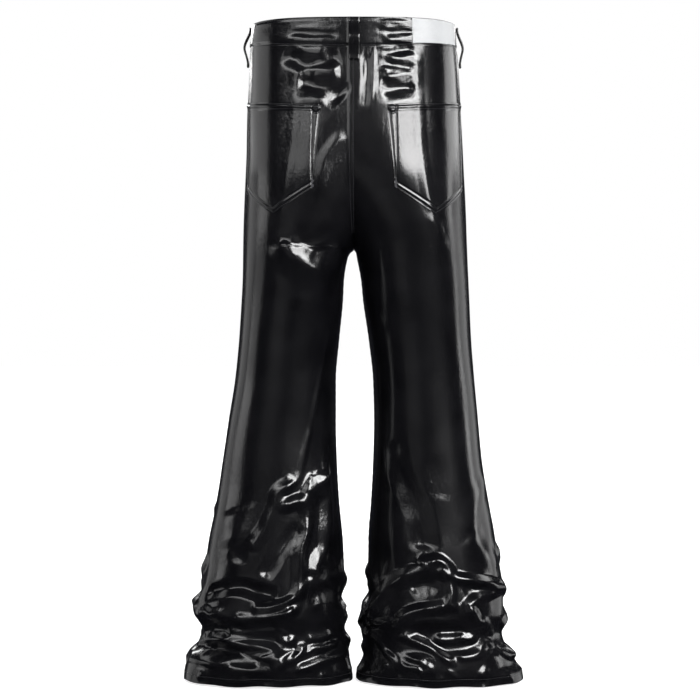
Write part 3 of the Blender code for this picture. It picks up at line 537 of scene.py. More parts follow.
def smooth_path(points):
    """A curve through a fold's own points, as close points."""
    points = np.array(points, float)
    padded = np.vstack([2 * points[0] - points[1], points, 2 * points[-1] - points[-2]])
    curve = []
    for p0, p1, p2, p3 in zip(padded[:-3], padded[1:-2], padded[2:-1], padded[3:]):
        steps = max(2, int(math.ceil(np.linalg.norm(p2 - p1) / PATH_STEP)))
        for t in np.arange(steps) / steps:
            bend = 2 * p1 + (p2 - p0) * t + (2 * p0 - 5 * p1 + 4 * p2 - p3) * t**2
            curve.append((bend + (3 * p1 - p0 - 3 * p2 + p3) * t**3) / 2)
    return np.array(curve + [points[-1]])


def fold_list():
    """The folds, each with its curve on the unrolled cloth: distance forwards from the side seam, and drop."""
    folds = []
    for side, face, rows in FOLDS:
        for row in rows:
            fold = dict(zip(FOLD_COLUMNS, row), side=side, face=face, phase=len(folds) * FOLD_PHASE)
            points = []
            for across, drop in fold["path"]:
                section = Section(side, drop)
                if face in ("back", "front"):
                    across = section.arc_of_x(across, face)
                if face != "side":
                    across -= section.side_seam
                points.append((across, drop))
            fold["curve"] = smooth_path(points)
            folds.append(fold)
    return folds


def fold_shape(fold, across, drop):
    """How far one fold pushes out points of the unrolled cloth."""
    curve = fold["curve"]
    nearest, along = np.full(across.shape, 1e9), np.zeros(across.shape)
    travelled = 0.0
    for start, end in zip(curve[:-1], curve[1:]):
        run = end - start
        length = float(np.hypot(*run))
        share = ((across - start[0]) * run[0] + (drop - start[1]) * run[1]) / length**2
        share = np.clip(share, 0, 1)
        gap = np.hypot(across - start[0] - share * run[0], drop - start[1] - share * run[1])
        closer = gap < nearest
        nearest = np.where(closer, gap, nearest)
        along = np.where(closer, travelled + share * length, along)
        travelled += length
    end = min(FOLD_END, FOLD_END_MOST * travelled)
    ends = smooth_step(0, end, along) * smooth_step(0, end, travelled - along)
    swells = sum(share * np.sin(along / long + times * fold["phase"]) for share, long, times in FOLD_SWELLS)
    height = fold["height"] * (FOLD_END_SHARE + (1 - FOLD_END_SHARE) * ends) * (1 + swells)
    tip = fold["width"] * fold.get("tip", FOLD_TIP_SHARE)
    foot = fold["tip"] / 3 if "tip" in fold else FOLD_FOOT
    left = 1 - (np.hypot(nearest, tip) - tip) / (FOLD_FLANK * fold["width"])
    return height * (left + np.sqrt(left**2 + foot**2)) / (1 + math.hypot(1, foot))


def ripple(across, down, length, seed):
    """Smooth unevenness of about this wavelength, mostly between -1 and 1: waves with different headings."""
    total = 0.0
    for k in range(WAVES):
        heading = seed * WAVE_HEADING + k * WAVE_TURN
        wavelength = length * (WAVE_SHORTEST + WAVE_GROWTH * k)
        place = across * math.cos(heading) + down * math.sin(heading)
        total = total + np.sin(place * 2 * np.pi / wavelength + seed * (k + 1) * WAVE_PHASE)
    return total / math.sqrt(WAVES)


class Cloth:
    """Places on one side's surface, a row for each drop and a column for each turn, with what lies there."""

    def __init__(self, side, turns, drops):
        self.side, self.turns, self.drops = side, np.asarray(turns, float), np.asarray(drops, float)
        sections = [Section(side, drop) for drop in self.drops]
        self.arc = np.stack([section.arc_of_turn(self.turns) for section in sections])
        self.drop = np.repeat(self.drops[:, None], len(self.turns), axis=1)
        self.length = np.array([section.length for section in sections])[:, None]
        self.side_seam = np.array([section.side_seam for section in sections])[:, None]
        self.from_side = self.arc - self.side_seam
        self.from_middle = np.minimum(self.arc, self.length - self.arc)
        places = [section.at(arc) for section, arc in zip(sections, self.arc)]
        x, y, nx, ny = (np.stack([place[k] for place in places]) for k in range(4))
        push = self.folds() + self.unevenness() + self.seams()
        x, y = x + push * nx, y + push * ny
        rise = HEM_RISE + HEM_WAVE * ripple(self.arc, 0 * self.arc, HEM_WAVE_LENGTH, SEEDS[side])
        rise = smooth_step(HEM - HEM_RISE_FROM, HEM, self.drop) * rise
        height = height_of(self.turns, self.drop) + np.maximum(rise, 0)
        self.points = np.stack([SIGN[side] * x, y, height], -1)
        self.outward = np.stack([SIGN[side] * nx, ny, np.zeros(nx.shape)], -1)

    def folds(self):
        """How far all the folds push the cloth out."""
        push = np.zeros(self.arc.shape)
        for fold in FOLD_LIST:
            reach = FOLD_REACH * fold["width"]
            low, high = fold["curve"][:, 1].min() - reach, fold["curve"][:, 1].max() + reach
            rows = np.nonzero((self.drops >= low) & (self.drops <= high))[0]
            if len(rows):
                rows = slice(rows[0], rows[-1] + 1)
                push[rows] += self.one_fold(fold, rows)
        return push

    def one_fold(self, fold, rows):
        """How far a fold pushes these rows out. It goes on across the middle seam and round the inseam."""
        arc, drop, length = self.arc[rows], self.drop[rows], self.length[rows]
        on_leg = drop > CROTCH
        if fold["side"] != self.side:
            own_seam = np.array([Section(fold["side"], row).side_seam for row in self.drops[rows]])[:, None]
            from_middle = np.where(arc < length / 2, -arc, 2 * length - arc)
            return np.where(on_leg, 0, fold_shape(fold, from_middle - own_seam, drop))
        first = fold_shape(fold, self.from_side[rows], drop)
        if fold["face"] == "side":
            return first
        other_way = length if float(fold["curve"][:, 0].mean()) > 0 else -length
        second = np.where(on_leg, fold_shape(fold, self.from_side[rows] + other_way, drop), 0)
        return np.where(np.abs(second) > np.abs(first), second, first)

    def unevenness(self):
        """Long soft waves all over, small ones where the legs stack, and crushed cloth at the waist's back."""
        seed = SEEDS[self.side]
        stacked = smooth_step(*STACKED, self.drop)
        long_waves = ripple(self.from_side, self.drop * LONG_WAVE_SLANT, LONG_WAVE_LENGTH, seed)
        small_waves = ripple(self.from_side, self.drop * SMALL_WAVE_SLANT, SMALL_WAVE_LENGTH, seed + 1)
        waves = (LONG_WAVE + LONG_WAVE_STACKED * stacked) * long_waves + SMALL_WAVE * stacked * small_waves
        at_waist = (1 - smooth_step(*CRUSH_LOW, self.drop)) * (1 - smooth_step(*CRUSH_FAR, self.arc))
        aside = smooth_step(*CRUSH_TURNS, self.arc)
        level = aside * ripple(self.arc * LEVEL_CRUSH_SLANT, self.drop, LEVEL_CRUSH_LENGTH, seed + 2)
        upright = (1 - aside) * smooth_step(*UPRIGHT_START, self.arc) * smooth_step(*UPRIGHT_TOP, self.drop)
        upright = upright * ripple(self.arc, self.drop * UPRIGHT_CRUSH_SLANT, UPRIGHT_CRUSH_LENGTH, seed + 3)
        crushed = at_waist * (LEVEL_CRUSH * level + UPRIGHT_CRUSH * upright) * CRUSH_SHARE[self.side]
        return smooth_step(0, CALM, self.from_middle) * waves + crushed

    def seams(self):
        """Furrows and felled edges along the seams, the front pockets' mouths and the turned hem."""
        pucker = PUCKER * np.sin(self.drop / PUCKER_LENGTH) * np.exp(-((self.from_middle / PUCKER_WIDE) ** 2))
        push = pucker * smooth_step(CROTCH, PUCKER_FULL, self.drop) - seam_dip(self.from_side)
        push = push - np.where(self.drop > CROTCH, seam_dip(self.from_middle), 0)
        if self.side == "left":
            at_back = self.arc < self.length / 2
            fell = np.where(at_back, fell_height(self.arc, self.drop), 0)
            push = push + fell
            for place in FELL_ROWS:
                push = push - SHALLOW * fell * furrow(self.arc - place)
        band = SCOOP_LOW - BAND_SIDE
        mouth = np.hypot(self.from_side / SCOOP_WIDE, np.maximum(self.drop - BAND_SIDE, 0) / band) - 1
        mouth = mouth * band
        step = SCOOP_STEP * (smooth_step(-SCOOP_EDGE, SCOOP_EDGE, mouth) - smooth_step(*SCOOP_FADE, mouth))
        for place in DOUBLE_ROW:
            step = step - furrow(mouth - place)
        push = push + np.where(self.from_side > 0, step, 0)
        return push - SHALLOW * furrow(self.drop - (HEM - HEM_TURN))


def seam_dip(gap):
    """How deep the cloth dips at a distance from a seam."""
    return SEAM_DEEP * np.exp(-((gap / SEAM_WIDE) ** 2))


def furrow(gap):
    """The furrow that a row of stitches makes, at a distance from it."""
    return GROOVE_DEEP * np.exp(-((gap / GROOVE_WIDE) ** 2))


def fell_height(arc, drop):
    """How far the felled seam stands out at the middle of the back, on the left, where it has more layers."""
    return FELL_HIGH * (1 - smooth_step(*FELL_STEP, arc)) * (1 - smooth_step(*FELL_END, drop))


def band_height(turn):
    """The waistband's height, which is the most at the middle of the back and the least at the sides."""
    to_side, to_front = smooth_step(0, 1, turn), smooth_step(1, 2, turn)
    return BAND_BACK + (BAND_SIDE - BAND_BACK) * to_side + (BAND_FRONT - BAND_SIDE) * to_front


def height_of(turn, drop):
    """Heights in millimetres: rows near the waist follow the waistband's curved seam."""
    ease = 1 - smooth_step(BAND_BACK, BAND_EASE_END, drop)
    below = -(drop + (band_height(turn) - BAND_BACK) * ease)
    return np.where(drop <= BAND_BACK, -drop * band_height(turn) / BAND_BACK, below)


# ---------------------------------------------------------------- skins


class Skin:
    """A grid of points and normals, with the values that its rows and columns stand for."""

    def __init__(self, rows, columns, points, normals):
        self.rows, self.columns = np.asarray(rows, float), np.asarray(columns, float)
        self.points, self.normals = points, normals

    def at(self, row, column):
        """Points and unit normals at these rows and columns."""
        row, column = np.broadcast_arrays(np.asarray(row, float), np.asarray(column, float))
        r = np.clip(np.searchsorted(self.rows, row, side="right") - 1, 0, len(self.rows) - 2)
        c = np.clip(np.searchsorted(self.columns, column, side="right") - 1, 0, len(self.columns) - 2)
        down = ((row - self.rows[r]) / (self.rows[r + 1] - self.rows[r]))[..., None]
        across = ((column - self.columns[c]) / (self.columns[c + 1] - self.columns[c]))[..., None]

        def blend(values):
            upper = values[r, c] * (1 - across) + values[r, c + 1] * across
            lower = values[r + 1, c] * (1 - across) + values[r + 1, c + 1] * across
            return upper * (1 - down) + lower * down

        return blend(self.points), unit(blend(self.normals))


def unit(vectors):
    return vectors / np.maximum(np.linalg.norm(vectors, axis=-1, keepdims=True), 1e-12)


def panel_rows():
    drops = [BAND_BACK]
    for low, high, step in ROW_RUNS:
        drops += list(np.linspace(low, high, int(round((high - low) / step)) + 1)[1:])
    return np.array(drops)


def panel_skins():
    """The surface of each side from the waistband to the hem. Both sides of a seam get the same normals."""
    drops = panel_rows()
    back, front = np.linspace(0, 1, BACK_COLUMNS + 1), np.linspace(1, 2, FRONT_COLUMNS + 1)
    turns = np.concatenate([back, front[1:]])
    rows, columns = len(drops), len(turns)
    crotch_row = int(np.nonzero(drops == CROTCH)[0][0])
    cloths = {side: Cloth(side, turns, drops) for side in SIGN}
    number = {"left": np.arange(rows * columns).reshape(rows, columns)}
    number["right"] = number["left"] + rows * columns
    for edge in (0, columns - 1):
        number["right"][: crotch_row + 1, edge] = number["left"][: crotch_row + 1, edge]
    for side in SIGN:
        number[side][crotch_row:, columns - 1] = number[side][crotch_row:, 0]
    number["right"][crotch_row, [0, columns - 1]] = number["left"][crotch_row, 0]
    total = np.zeros((2 * rows * columns, 3))
    for side, sign in SIGN.items():
        p, n = cloths[side].points, number[side]
        face = sign * np.cross(p[1:, 1:] - p[:-1, :-1], p[1:, :-1] - p[:-1, 1:])
        for corner in (n[:-1, :-1], n[1:, :-1], n[:-1, 1:], n[1:, 1:]):
            np.add.at(total, corner, face)
    total = unit(total)
    skins = {side: Skin(drops, turns, cloths[side].points, total[number[side]]) for side in SIGN}
    for side, skin in skins.items():
        skin.side_seam = cloths[side].side_seam[:, 0]
        skin.length = cloths[side].length[:, 0]
    return skins


def on_panel(skin, arc, drop):
    """Points and normals of a side's surface at distances along the cloth."""
    side_seam, length = np.interp(drop, skin.rows, skin.side_seam), np.interp(drop, skin.rows, skin.length)
    turn = np.where(arc <= side_seam, arc / side_seam, 1 + (arc - side_seam) / (length - side_seam))
    return skin.at(drop, turn)


# ---------------------------------------------------------------- meshes


def make_piece(name, verts, faces, materials, node=None, slot="coated_denim", indices=None, angle=60.0):
    """A smooth piece from vertices in millimetres. It stands for its CAD node, if it has one."""
    mesh = bpy.data.meshes.new(name)
    mesh.from_pydata(np.asarray(verts) * MM, [], [tuple(face) for face in faces])
    for material in materials:
        mesh.materials.append(material)
    if indices is not None:
        mesh.polygons.foreach_set("material_index", np.asarray(indices, dtype=np.int32))
    mesh.shade_smooth()
    mesh.set_sharp_from_angle(angle=math.radians(angle))
    mesh.update()
    piece = bpy.data.objects.new(name, mesh)
    bpy.context.collection.objects.link(piece)
    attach(piece, "root")
    if node:
        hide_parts(node)
    return piece


def wall(outer, inner, flip):
    """Vertices, faces and material numbers of a closed wall between two grids: 0 outside and rim, 1 inside."""
    rows, columns = outer.shape[:2]
    verts = np.concatenate([outer.reshape(-1, 3), inner.reshape(-1, 3)])
    number = np.arange(rows * columns).reshape(rows, columns)
    quads = np.stack([number[:-1, :-1], number[:-1, 1:], number[1:, 1:], number[1:, :-1]], -1).reshape(-1, 4)
    rim = np.concatenate([number[0, :], number[1:, -1], number[-1, -2::-1], number[-2:0:-1, 0]])
    after = np.roll(rim, -1)
    inside = rows * columns
    rims = np.stack([rim, rim + inside, after + inside, after], -1)
    if flip:
        quads, rims = quads[:, ::-1], rims[:, ::-1]
    faces = np.concatenate([quads, rims, quads[:, ::-1] + inside])
    indices = np.concatenate([np.zeros(len(quads) + len(rims)), np.ones(len(quads))])
    return verts, faces.tolist(), indices


def against(outer, normals):
    """Whether a grid's own faces point against these normals."""
    face = np.cross(outer[0, 1] - outer[0, 0], outer[1, 0] - outer[0, 0])
    return float(face @ normals[0, 0]) < 0


def wall_piece(name, outer, inner, materials, **facts):
    """A smooth piece that is a closed wall between two grids."""
    row, column = len(outer) // 2, outer.shape[1] // 2
    middle = (slice(row, row + 2), slice(column, column + 2))
    flip = against(outer[middle], (outer - inner)[middle])
    verts, faces, indices = wall(outer, inner, flip)
    return make_piece(name, verts, faces, materials, indices=indices, **facts)


def round_edges(shape, spacing_rows, spacing_columns, radius=1.0, depth=0.45):
    """How far a laid piece's points stand out: they sink near its edges, which look turned under."""
    down = np.minimum(np.arange(shape[0]), np.arange(shape[0])[::-1])[:, None] * spacing_rows
    across = np.minimum(np.arange(shape[1]), np.arange(shape[1])[::-1])[None, :] * spacing_columns
    return -depth * np.exp(-np.minimum(down, across) / radius)


# ---------------------------------------------------------------- materials


class Tree:
    """Short calls for a node tree."""

    def __init__(self, owner):
        owner.use_nodes = True
        self.tree = owner.node_tree

    def add(self, kind, **values):
        node = self.tree.nodes.new(kind)
        for name, value in values.items():
            setattr(node, name, value)
        return node

    def link(self, start, end):
        self.tree.links.new(start, end)

    def range(self, value, low, high, to_low, to_high, **values):
        node = self.add("ShaderNodeMapRange", **values)
        for name, number in (("From Min", low), ("From Max", high), ("To Min", to_low), ("To Max", to_high)):
            node.inputs[name].default_value = number
        self.link(value, node.inputs["Value"])
        return node.outputs["Result"]

    def math(self, operation, *values):
        node = self.add("ShaderNodeMath", operation=operation)
        for socket, value in zip(node.inputs, values):
            if isinstance(value, (int, float)):
                socket.default_value = value
            else:
                self.link(value, socket)
        return node.outputs["Value"]


class Nodes(Tree):
    """Short calls for a material's node tree."""

    def __init__(self, name):
        self.material = bpy.data.materials.new(name)
        super().__init__(self.material)
        self.shader = self.tree.nodes["Principled BSDF"]
        self.place = self.add("ShaderNodeTexCoord").outputs["Object"]

    def stretched(self, scale):
        """The object's own coordinates, scaled along each axis."""
        mapping = self.add("ShaderNodeMapping")
        mapping.inputs["Scale"].default_value = scale
        self.link(self.place, mapping.inputs["Vector"])
        return mapping.outputs["Vector"]

    def noise(self, scale, detail=3.0, rough=0.5, vector=None, twist=0.0):
        node = self.add("ShaderNodeTexNoise")
        node.inputs["Scale"].default_value = scale
        node.inputs["Detail"].default_value = detail
        node.inputs["Roughness"].default_value = rough
        node.inputs["Distortion"].default_value = twist
        self.link(vector or self.place, node.inputs["Vector"])
        return node.outputs["Fac"]

    def ramp(self, value, stops):
        node = self.add("ShaderNodeValToRGB")
        elements = node.color_ramp.elements
        while len(elements) < len(stops):
            elements.new(0.5)
        for element, (place, color) in zip(elements, stops):
            element.position = place
            element.color = (*color, 1.0)
        self.link(value, node.inputs["Fac"])
        return node.outputs["Color"]

    def bump(self, height, distance, strength=1.0, normal=None):
        node = self.add("ShaderNodeBump")
        node.inputs["Strength"].default_value = strength
        node.inputs["Distance"].default_value = distance
        self.link(height, node.inputs["Height"])
        if normal:
            self.link(normal, node.inputs["Normal"])
        return node.outputs["Normal"]

    def shade(self, **sockets):
        """Sets the shader's sockets, named with _ for a space: a number, a colour or another node's output."""
        for name, value in sockets.items():
            socket = self.shader.inputs[name.replace("_", " ").title().replace("Ior", "IOR")]
            if isinstance(value, bpy.types.NodeSocket):
                self.link(value, socket)
            else:
                socket.default_value = value
        return self.material


def coated_denim():
    """Black denim under a glossy polyurethane coat: soft twill grain under a clear, wet shine."""
    n = Nodes("coated_denim")
    patches = n.noise(22.0, detail=4.0, rough=0.6)
    color = n.ramp(patches, ((0.35, (0.0012, 0.0012, 0.0016)), (0.7, (0.0028, 0.0028, 0.0034))))
    roughness = n.range(patches, 0.3, 0.7, 0.34, 0.46)
    streaks = n.noise(1.0, detail=3.0, vector=n.stretched((620.0, 620.0, 26.0)))
    twill = n.noise(1500.0, detail=2.0)
    weave = n.math("ADD", n.math("MULTIPLY", streaks, 0.6), n.math("MULTIPLY", twill, 0.4))
    grain = n.bump(weave, 0.00010, 0.7)
    crushed = n.noise(1.0, detail=4.0, rough=0.6, vector=n.stretched((210.0, 210.0, 120.0)), twist=0.5)
    where = n.range(n.noise(9.0, detail=2.0), 0.42, 0.66, 0.25, 1.0)
    surface = n.bump(n.math("MULTIPLY", crushed, where), 0.0011, 0.4, normal=grain)
    return n.shade(
        base_color=color, roughness=roughness, specular_ior_level=0.04, coat_weight=1.0, coat_roughness=0.13,
        coat_ior=1.5, normal=surface, coat_normal=surface,
    )


def bare_denim():
    """The uncoated inside of the cloth: matt black twill."""
    n = Nodes("bare_denim")
    twill = n.add("ShaderNodeTexWave", wave_type="BANDS", bands_direction="DIAGONAL")
    twill.inputs["Scale"].default_value = 420.0
    twill.inputs["Distortion"].default_value = 0.8
    n.link(n.place, twill.inputs["Vector"])
    fuzz = n.noise(900.0, detail=4.0, rough=0.7)
    mixed = n.math("ADD", n.math("MULTIPLY", twill.outputs["Fac"], 0.6), n.math("MULTIPLY", fuzz, 0.4))
    color = n.ramp(mixed, ((0.2, (0.009, 0.009, 0.011)), (0.8, (0.030, 0.030, 0.034))))
    return n.shade(base_color=color, roughness=0.9, sheen_weight=0.15, normal=n.bump(mixed, 0.0002, 0.7))


def blank_patch():
    """White coated card with a fine grain and a faintly grey, uneven tone."""
    n = Nodes("blank_patch")
    grain = n.noise(650.0, detail=4.0, rough=0.6)
    soft = n.noise(40.0, detail=3.0)
    mixed = n.math("MULTIPLY", n.math("ADD", grain, soft), 0.5)
    grey, pale, palest = (0.26, 0.265, 0.27), (0.30, 0.305, 0.31), (0.325, 0.33, 0.335)
    color = n.ramp(mixed, ((0.30, grey), (0.55, pale), (0.75, palest)))
    roughness = n.range(grain, 0.3, 0.7, 0.42, 0.6)
    return n.shade(base_color=color, roughness=roughness, normal=n.bump(grain, 0.0001, 0.35))


def button_metal():
    """Dark polished metal with fine turned lines and rubbed high spots."""
    n = Nodes("button_metal")
    wear = n.noise(160.0, detail=5.0, rough=0.65)
    dark, worn, rubbed = (0.055, 0.055, 0.060), (0.11, 0.11, 0.115), (0.24, 0.24, 0.25)
    color = n.ramp(wear, ((0.35, dark), (0.62, worn), (0.8, rubbed)))
    roughness = n.range(wear, 0.3, 0.75, 0.20, 0.38)
    lines = n.noise(1.0, detail=2.0, vector=n.stretched((300.0, 300.0, 5200.0)))
    return n.shade(base_color=color, metallic=1.0, roughness=roughness, normal=n.bump(lines, 0.00004, 0.4))


def thread():
    """Black waxed sewing thread."""
    n = Nodes("thread")
    strands = n.noise(2600.0, detail=2.0)
    color = n.ramp(strands, ((0.3, (0.006, 0.006, 0.007)), (0.7, (0.022, 0.022, 0.025))))
    return n.shade(base_color=color, roughness=0.38, coat_weight=0.35, normal=n.bump(strands, 0.00012, 0.6))


# ---------------------------------------------------------------- pieces


def leg_panel(skin, side, face):
    """A back or front panel of one leg."""
    columns = slice(0, BACK_COLUMNS + 1) if face == "back" else slice(BACK_COLUMNS, None)
    outer, normals = skin.points[:, columns].copy(), skin.normals[:, columns]
    for edge, beside in ((0, 1), (-1, -2)):
        outer[:, edge] += SEAM_GAP / 2 * unit(outer[:, beside] - outer[:, edge])
    outer[0, :, 2] -= SEAM_GAP
    thick = np.full(outer.shape[:2], CLOTH_THICK)
    if (face, side) == ("back", "left"):
        thick += fell_height(skin.columns[columns] * skin.side_seam[:, None], skin.rows[:, None])
    inner = skin.points[:, columns] - thick[..., None] * normals  # inside, the seams are closed
    inner[0, :, 2] = outer[0, :, 2]
    inner[-1, :, 2] = outer[-1, :, 2]
    for grid, least in ((outer, SEAM_GAP / 2), (inner, 0.0)):
        grid[..., 0] = np.maximum(grid[..., 0] * SIGN[side], least) * SIGN[side]
    return wall_piece(
        f"{face}_{side}_cloth", outer, inner, [DENIM, INSIDE], node=f"{face}_{side}")


def facing(down):
    """The width of a pocket's inner facing."""
    return FACING_TOP * (1 - down) + FACING_LOW * down


def pocket(skin, side):
    """A patch pocket with a pointed foot. Returns the piece and its outer skin."""
    rows, columns = np.linspace(0, 1, POCKET_ROWS + 1), np.linspace(0, 1, POCKET_COLUMNS + 1)
    down, across = np.meshgrid(rows, columns, indexing="ij")
    top = POCKET_TOP_DROP_INNER + (POCKET_TOP_DROP_OUTER - POCKET_TOP_DROP_INNER) * across
    low = POCKET_TIP_DROP - (POCKET_TIP_DROP - POCKET_CORNER_DROP) * np.abs(2 * across - 1)
    inner_edge = POCKET_TOP_INNER + (POCKET_LOW_INNER - POCKET_TOP_INNER) * down
    outer_edge = POCKET_TOP_OUTER + (POCKET_LOW_OUTER - POCKET_TOP_OUTER) * down
    arc, drop = inner_edge + (outer_edge - inner_edge) * across, top + (low - top) * down
    points, normals = on_panel(skin, arc, drop)
    from_top, from_low = drop - top, (low - drop) * POCKET_FOOT_SLOPE
    from_inner, from_outer = arc - inner_edge, outer_edge - arc
    spacing = (POCKET_TOP_OUTER - POCKET_TOP_INNER) / POCKET_COLUMNS
    ear = np.hypot(from_inner - POCKET_EAR, from_top - POCKET_EAR + 1)
    raised = round_edges(arc.shape, spacing, spacing)
    raised = raised + POCKET_HEM_HIGH * (1 - smooth_step(*POCKET_HEM_EDGE, from_top))
    raised = raised + EAR_HIGH * (1 - smooth_step(*EAR_EDGE, ear)) - furrow(ear - EAR_ROW)
    for place in DOUBLE_ROW:
        raised = raised - furrow(from_top - place) - furrow(from_low - place)
    below_hem = smooth_step(*BELOW_HEM, from_top)
    gaps = [from_inner - facing(down), from_inner - DOUBLE_ROW[0], *(from_outer - row for row in OUTER_ROWS)]
    for gap in gaps:
        raised = raised - below_hem * furrow(gap)
    outer = points + (LAID_ON + POCKET_THICK + raised)[..., None] * normals
    inner = points + LAID_ON * normals
    piece = wall_piece(f"pocket_{side}_cloth", outer, inner, [DENIM, INSIDE], node=f"pocket_{side}")
    return piece, Skin(rows, columns, outer, normals)


def fly(skins):
    """The placket over the front opening. Returns the piece and its outer skin."""
    down, across = np.linspace(0, 1, FLY_ROWS + 1), np.linspace(0, 1, FLY_COLUMNS + 1)
    shape = (len(down), len(across))
    points, normals = np.zeros((*shape, 3)), np.zeros((*shape, 3))
    for r, row in enumerate(down):
        drop = FLY_TOP + FLY_GAP + (FLY_LOW - FLY_TOP) * row
        rounding = max(0.0, (drop - FLY_CORNER) / (FLY_LOW + FLY_GAP - FLY_CORNER))
        wide = FLY_WIDE * math.sqrt(max(1 - FLY_ROUND * rounding**2, 0))
        section = Section("left", drop)
        for c, column in enumerate(across):
            aside = -FLY_OVER + (wide + FLY_OVER) * column
            side = "left" if aside >= 0 else "right"
            turn = float(section.turn_of_arc(section.length - abs(aside)))
            points[r, c], normals[r, c] = skins[side].at(drop + BAND_BACK - BAND_FRONT, turn)
    raised = round_edges(shape, *FLY_STEPS)
    from_edge = np.minimum((1 - across) * FLY_STITCHED[0], (1 - down[:, None]) * FLY_STITCHED[1])
    for place in FLY_STITCHES:
        raised = raised - furrow(from_edge - place)
    outer = points + (LAID_ON + FLY_THICK + raised)[..., None] * normals
    piece = wall_piece("fly_cloth", outer, points + LAID_ON * normals, [DENIM, INSIDE], node="fly")
    return piece, Skin(down, across, outer, normals)


def band_stations():
    """The waistband's columns, as (side, turn, how far it stands out), from its left end to its right end."""
    left, right = Section("left", 0.0), Section("right", 0.0)
    stations = []
    for aside in np.arange(LAP_OVER, 0, -BAND_STEP):
        stations.append(("right", float(right.turn_of_arc(right.length - aside)), BAND_PROUD + LAP_STEP))
    around = np.linspace(0, 2, int(left.length / BAND_STEP) + 1)
    for turn in around[::-1]:
        from_front = left.length - float(left.arc_of_turn(turn))
        lap = 1 - float(smooth_step(*LAP_SLOPE, from_front))
        stations.append(("left", float(turn), BAND_PROUD + LAP_STEP * lap))
    stations += [("right", float(turn), BAND_PROUD) for turn in around[1:]]
    for aside in np.arange(BAND_STEP, LAP_UNDER + 0.1, BAND_STEP):
        stations.append(("left", float(left.turn_of_arc(left.length - aside)), BAND_PROUD))
    return stations


def waistband():
    """One strip round the waist, lapped left over right. Returns the piece, its outer skin and its columns."""
    stations = band_stations()
    drops = np.linspace(0, BAND_BACK, BAND_ROWS + 1)
    points = np.zeros((len(drops), len(stations), 3))
    outward = np.zeros_like(points)
    for side in SIGN:
        own = [k for k, station in enumerate(stations) if station[0] == side]
        cloth = Cloth(side, [stations[k][1] for k in own], drops)
        points[:, own], outward[:, own] = cloth.points, cloth.outward
    at_middle = [k for k, station in enumerate(stations) if station[1] in (0.0, 2.0)]
    outward[:, at_middle, 0] = 0.0
    out = np.array([station[2] for station in stations])[None, :, None]
    raised = round_edges(points.shape[:2], BAND_STEP, BAND_STEP, radius=1.4, depth=0.6)
    for place in BAND_STITCHES:
        raised = raised - furrow(drops[:, None] - place)
    outer = points + (out + raised[..., None]) * outward
    inner = points + (out - BAND_THICK) * outward
    piece = wall_piece("waistband_cloth", outer, inner, [DENIM, INSIDE], node="waistband")
    return piece, Skin(drops, np.arange(len(stations)), outer, outward), stations


def patch():
    """The blank patch on the waistband, at the wearer's right of the back."""
    section = Section("right", 0.0)
    ends = [float(section.turn_of_arc(arc)) for arc in (PATCH_FROM, PATCH_TO)]
    turns, cloth_rows = np.linspace(*ends, PATCH_COLUMNS + 1), np.linspace(0, BAND_BACK, CLOTH_ROWS)
    cloth = Cloth("right", turns, cloth_rows)
    base = Skin(cloth_rows, turns, cloth.points, cloth.outward)
    low = np.interp(turns, ends, (PATCH_LOW_FROM, PATCH_LOW_TO))
    drop = PATCH_TOP + (low - PATCH_TOP) * np.linspace(0, 1, PATCH_ROWS + 1)[:, None]
    drop = drop * BAND_BACK / band_height(turns)
    points, outward = base.at(drop, np.broadcast_to(turns, drop.shape))
    raised = round_edges(drop.shape, *PATCH_STEPS, radius=0.8, depth=0.4)
    lift = BAND_PROUD + PATCH_LIFT
    outer = points + (lift + PATCH_THICK + raised)[..., None] * outward
    return wall_piece(
        "blank_patch_trim", outer, points + lift * outward, [WHITE, WHITE], node="patch", slot="blank_patch")


def loop_section(width):
    """The belt loop's own section, as (across, through), with a furrow along both rows of stitches."""
    ring = []
    for k in range(LOOP_ROUND):
        angle = (k + 0.5) * 2 * math.pi / LOOP_ROUND
        c, s = math.cos(angle), math.sin(angle)
        across = math.copysign(abs(c) ** LOOP_ACROSS_POWER, c) * width / 2
        through = math.copysign(abs(s) ** LOOP_THROUGH_POWER, s) * LOOP_THICK / 2
        from_row = abs(across) - width / 2 + LOOP_ROW
        if s > 0:
            through *= 1 - LOOP_ROW_DEEP * math.exp(-((from_row / LOOP_ROW_WIDE) ** 2))
        ring.append((across, through))
    return ring


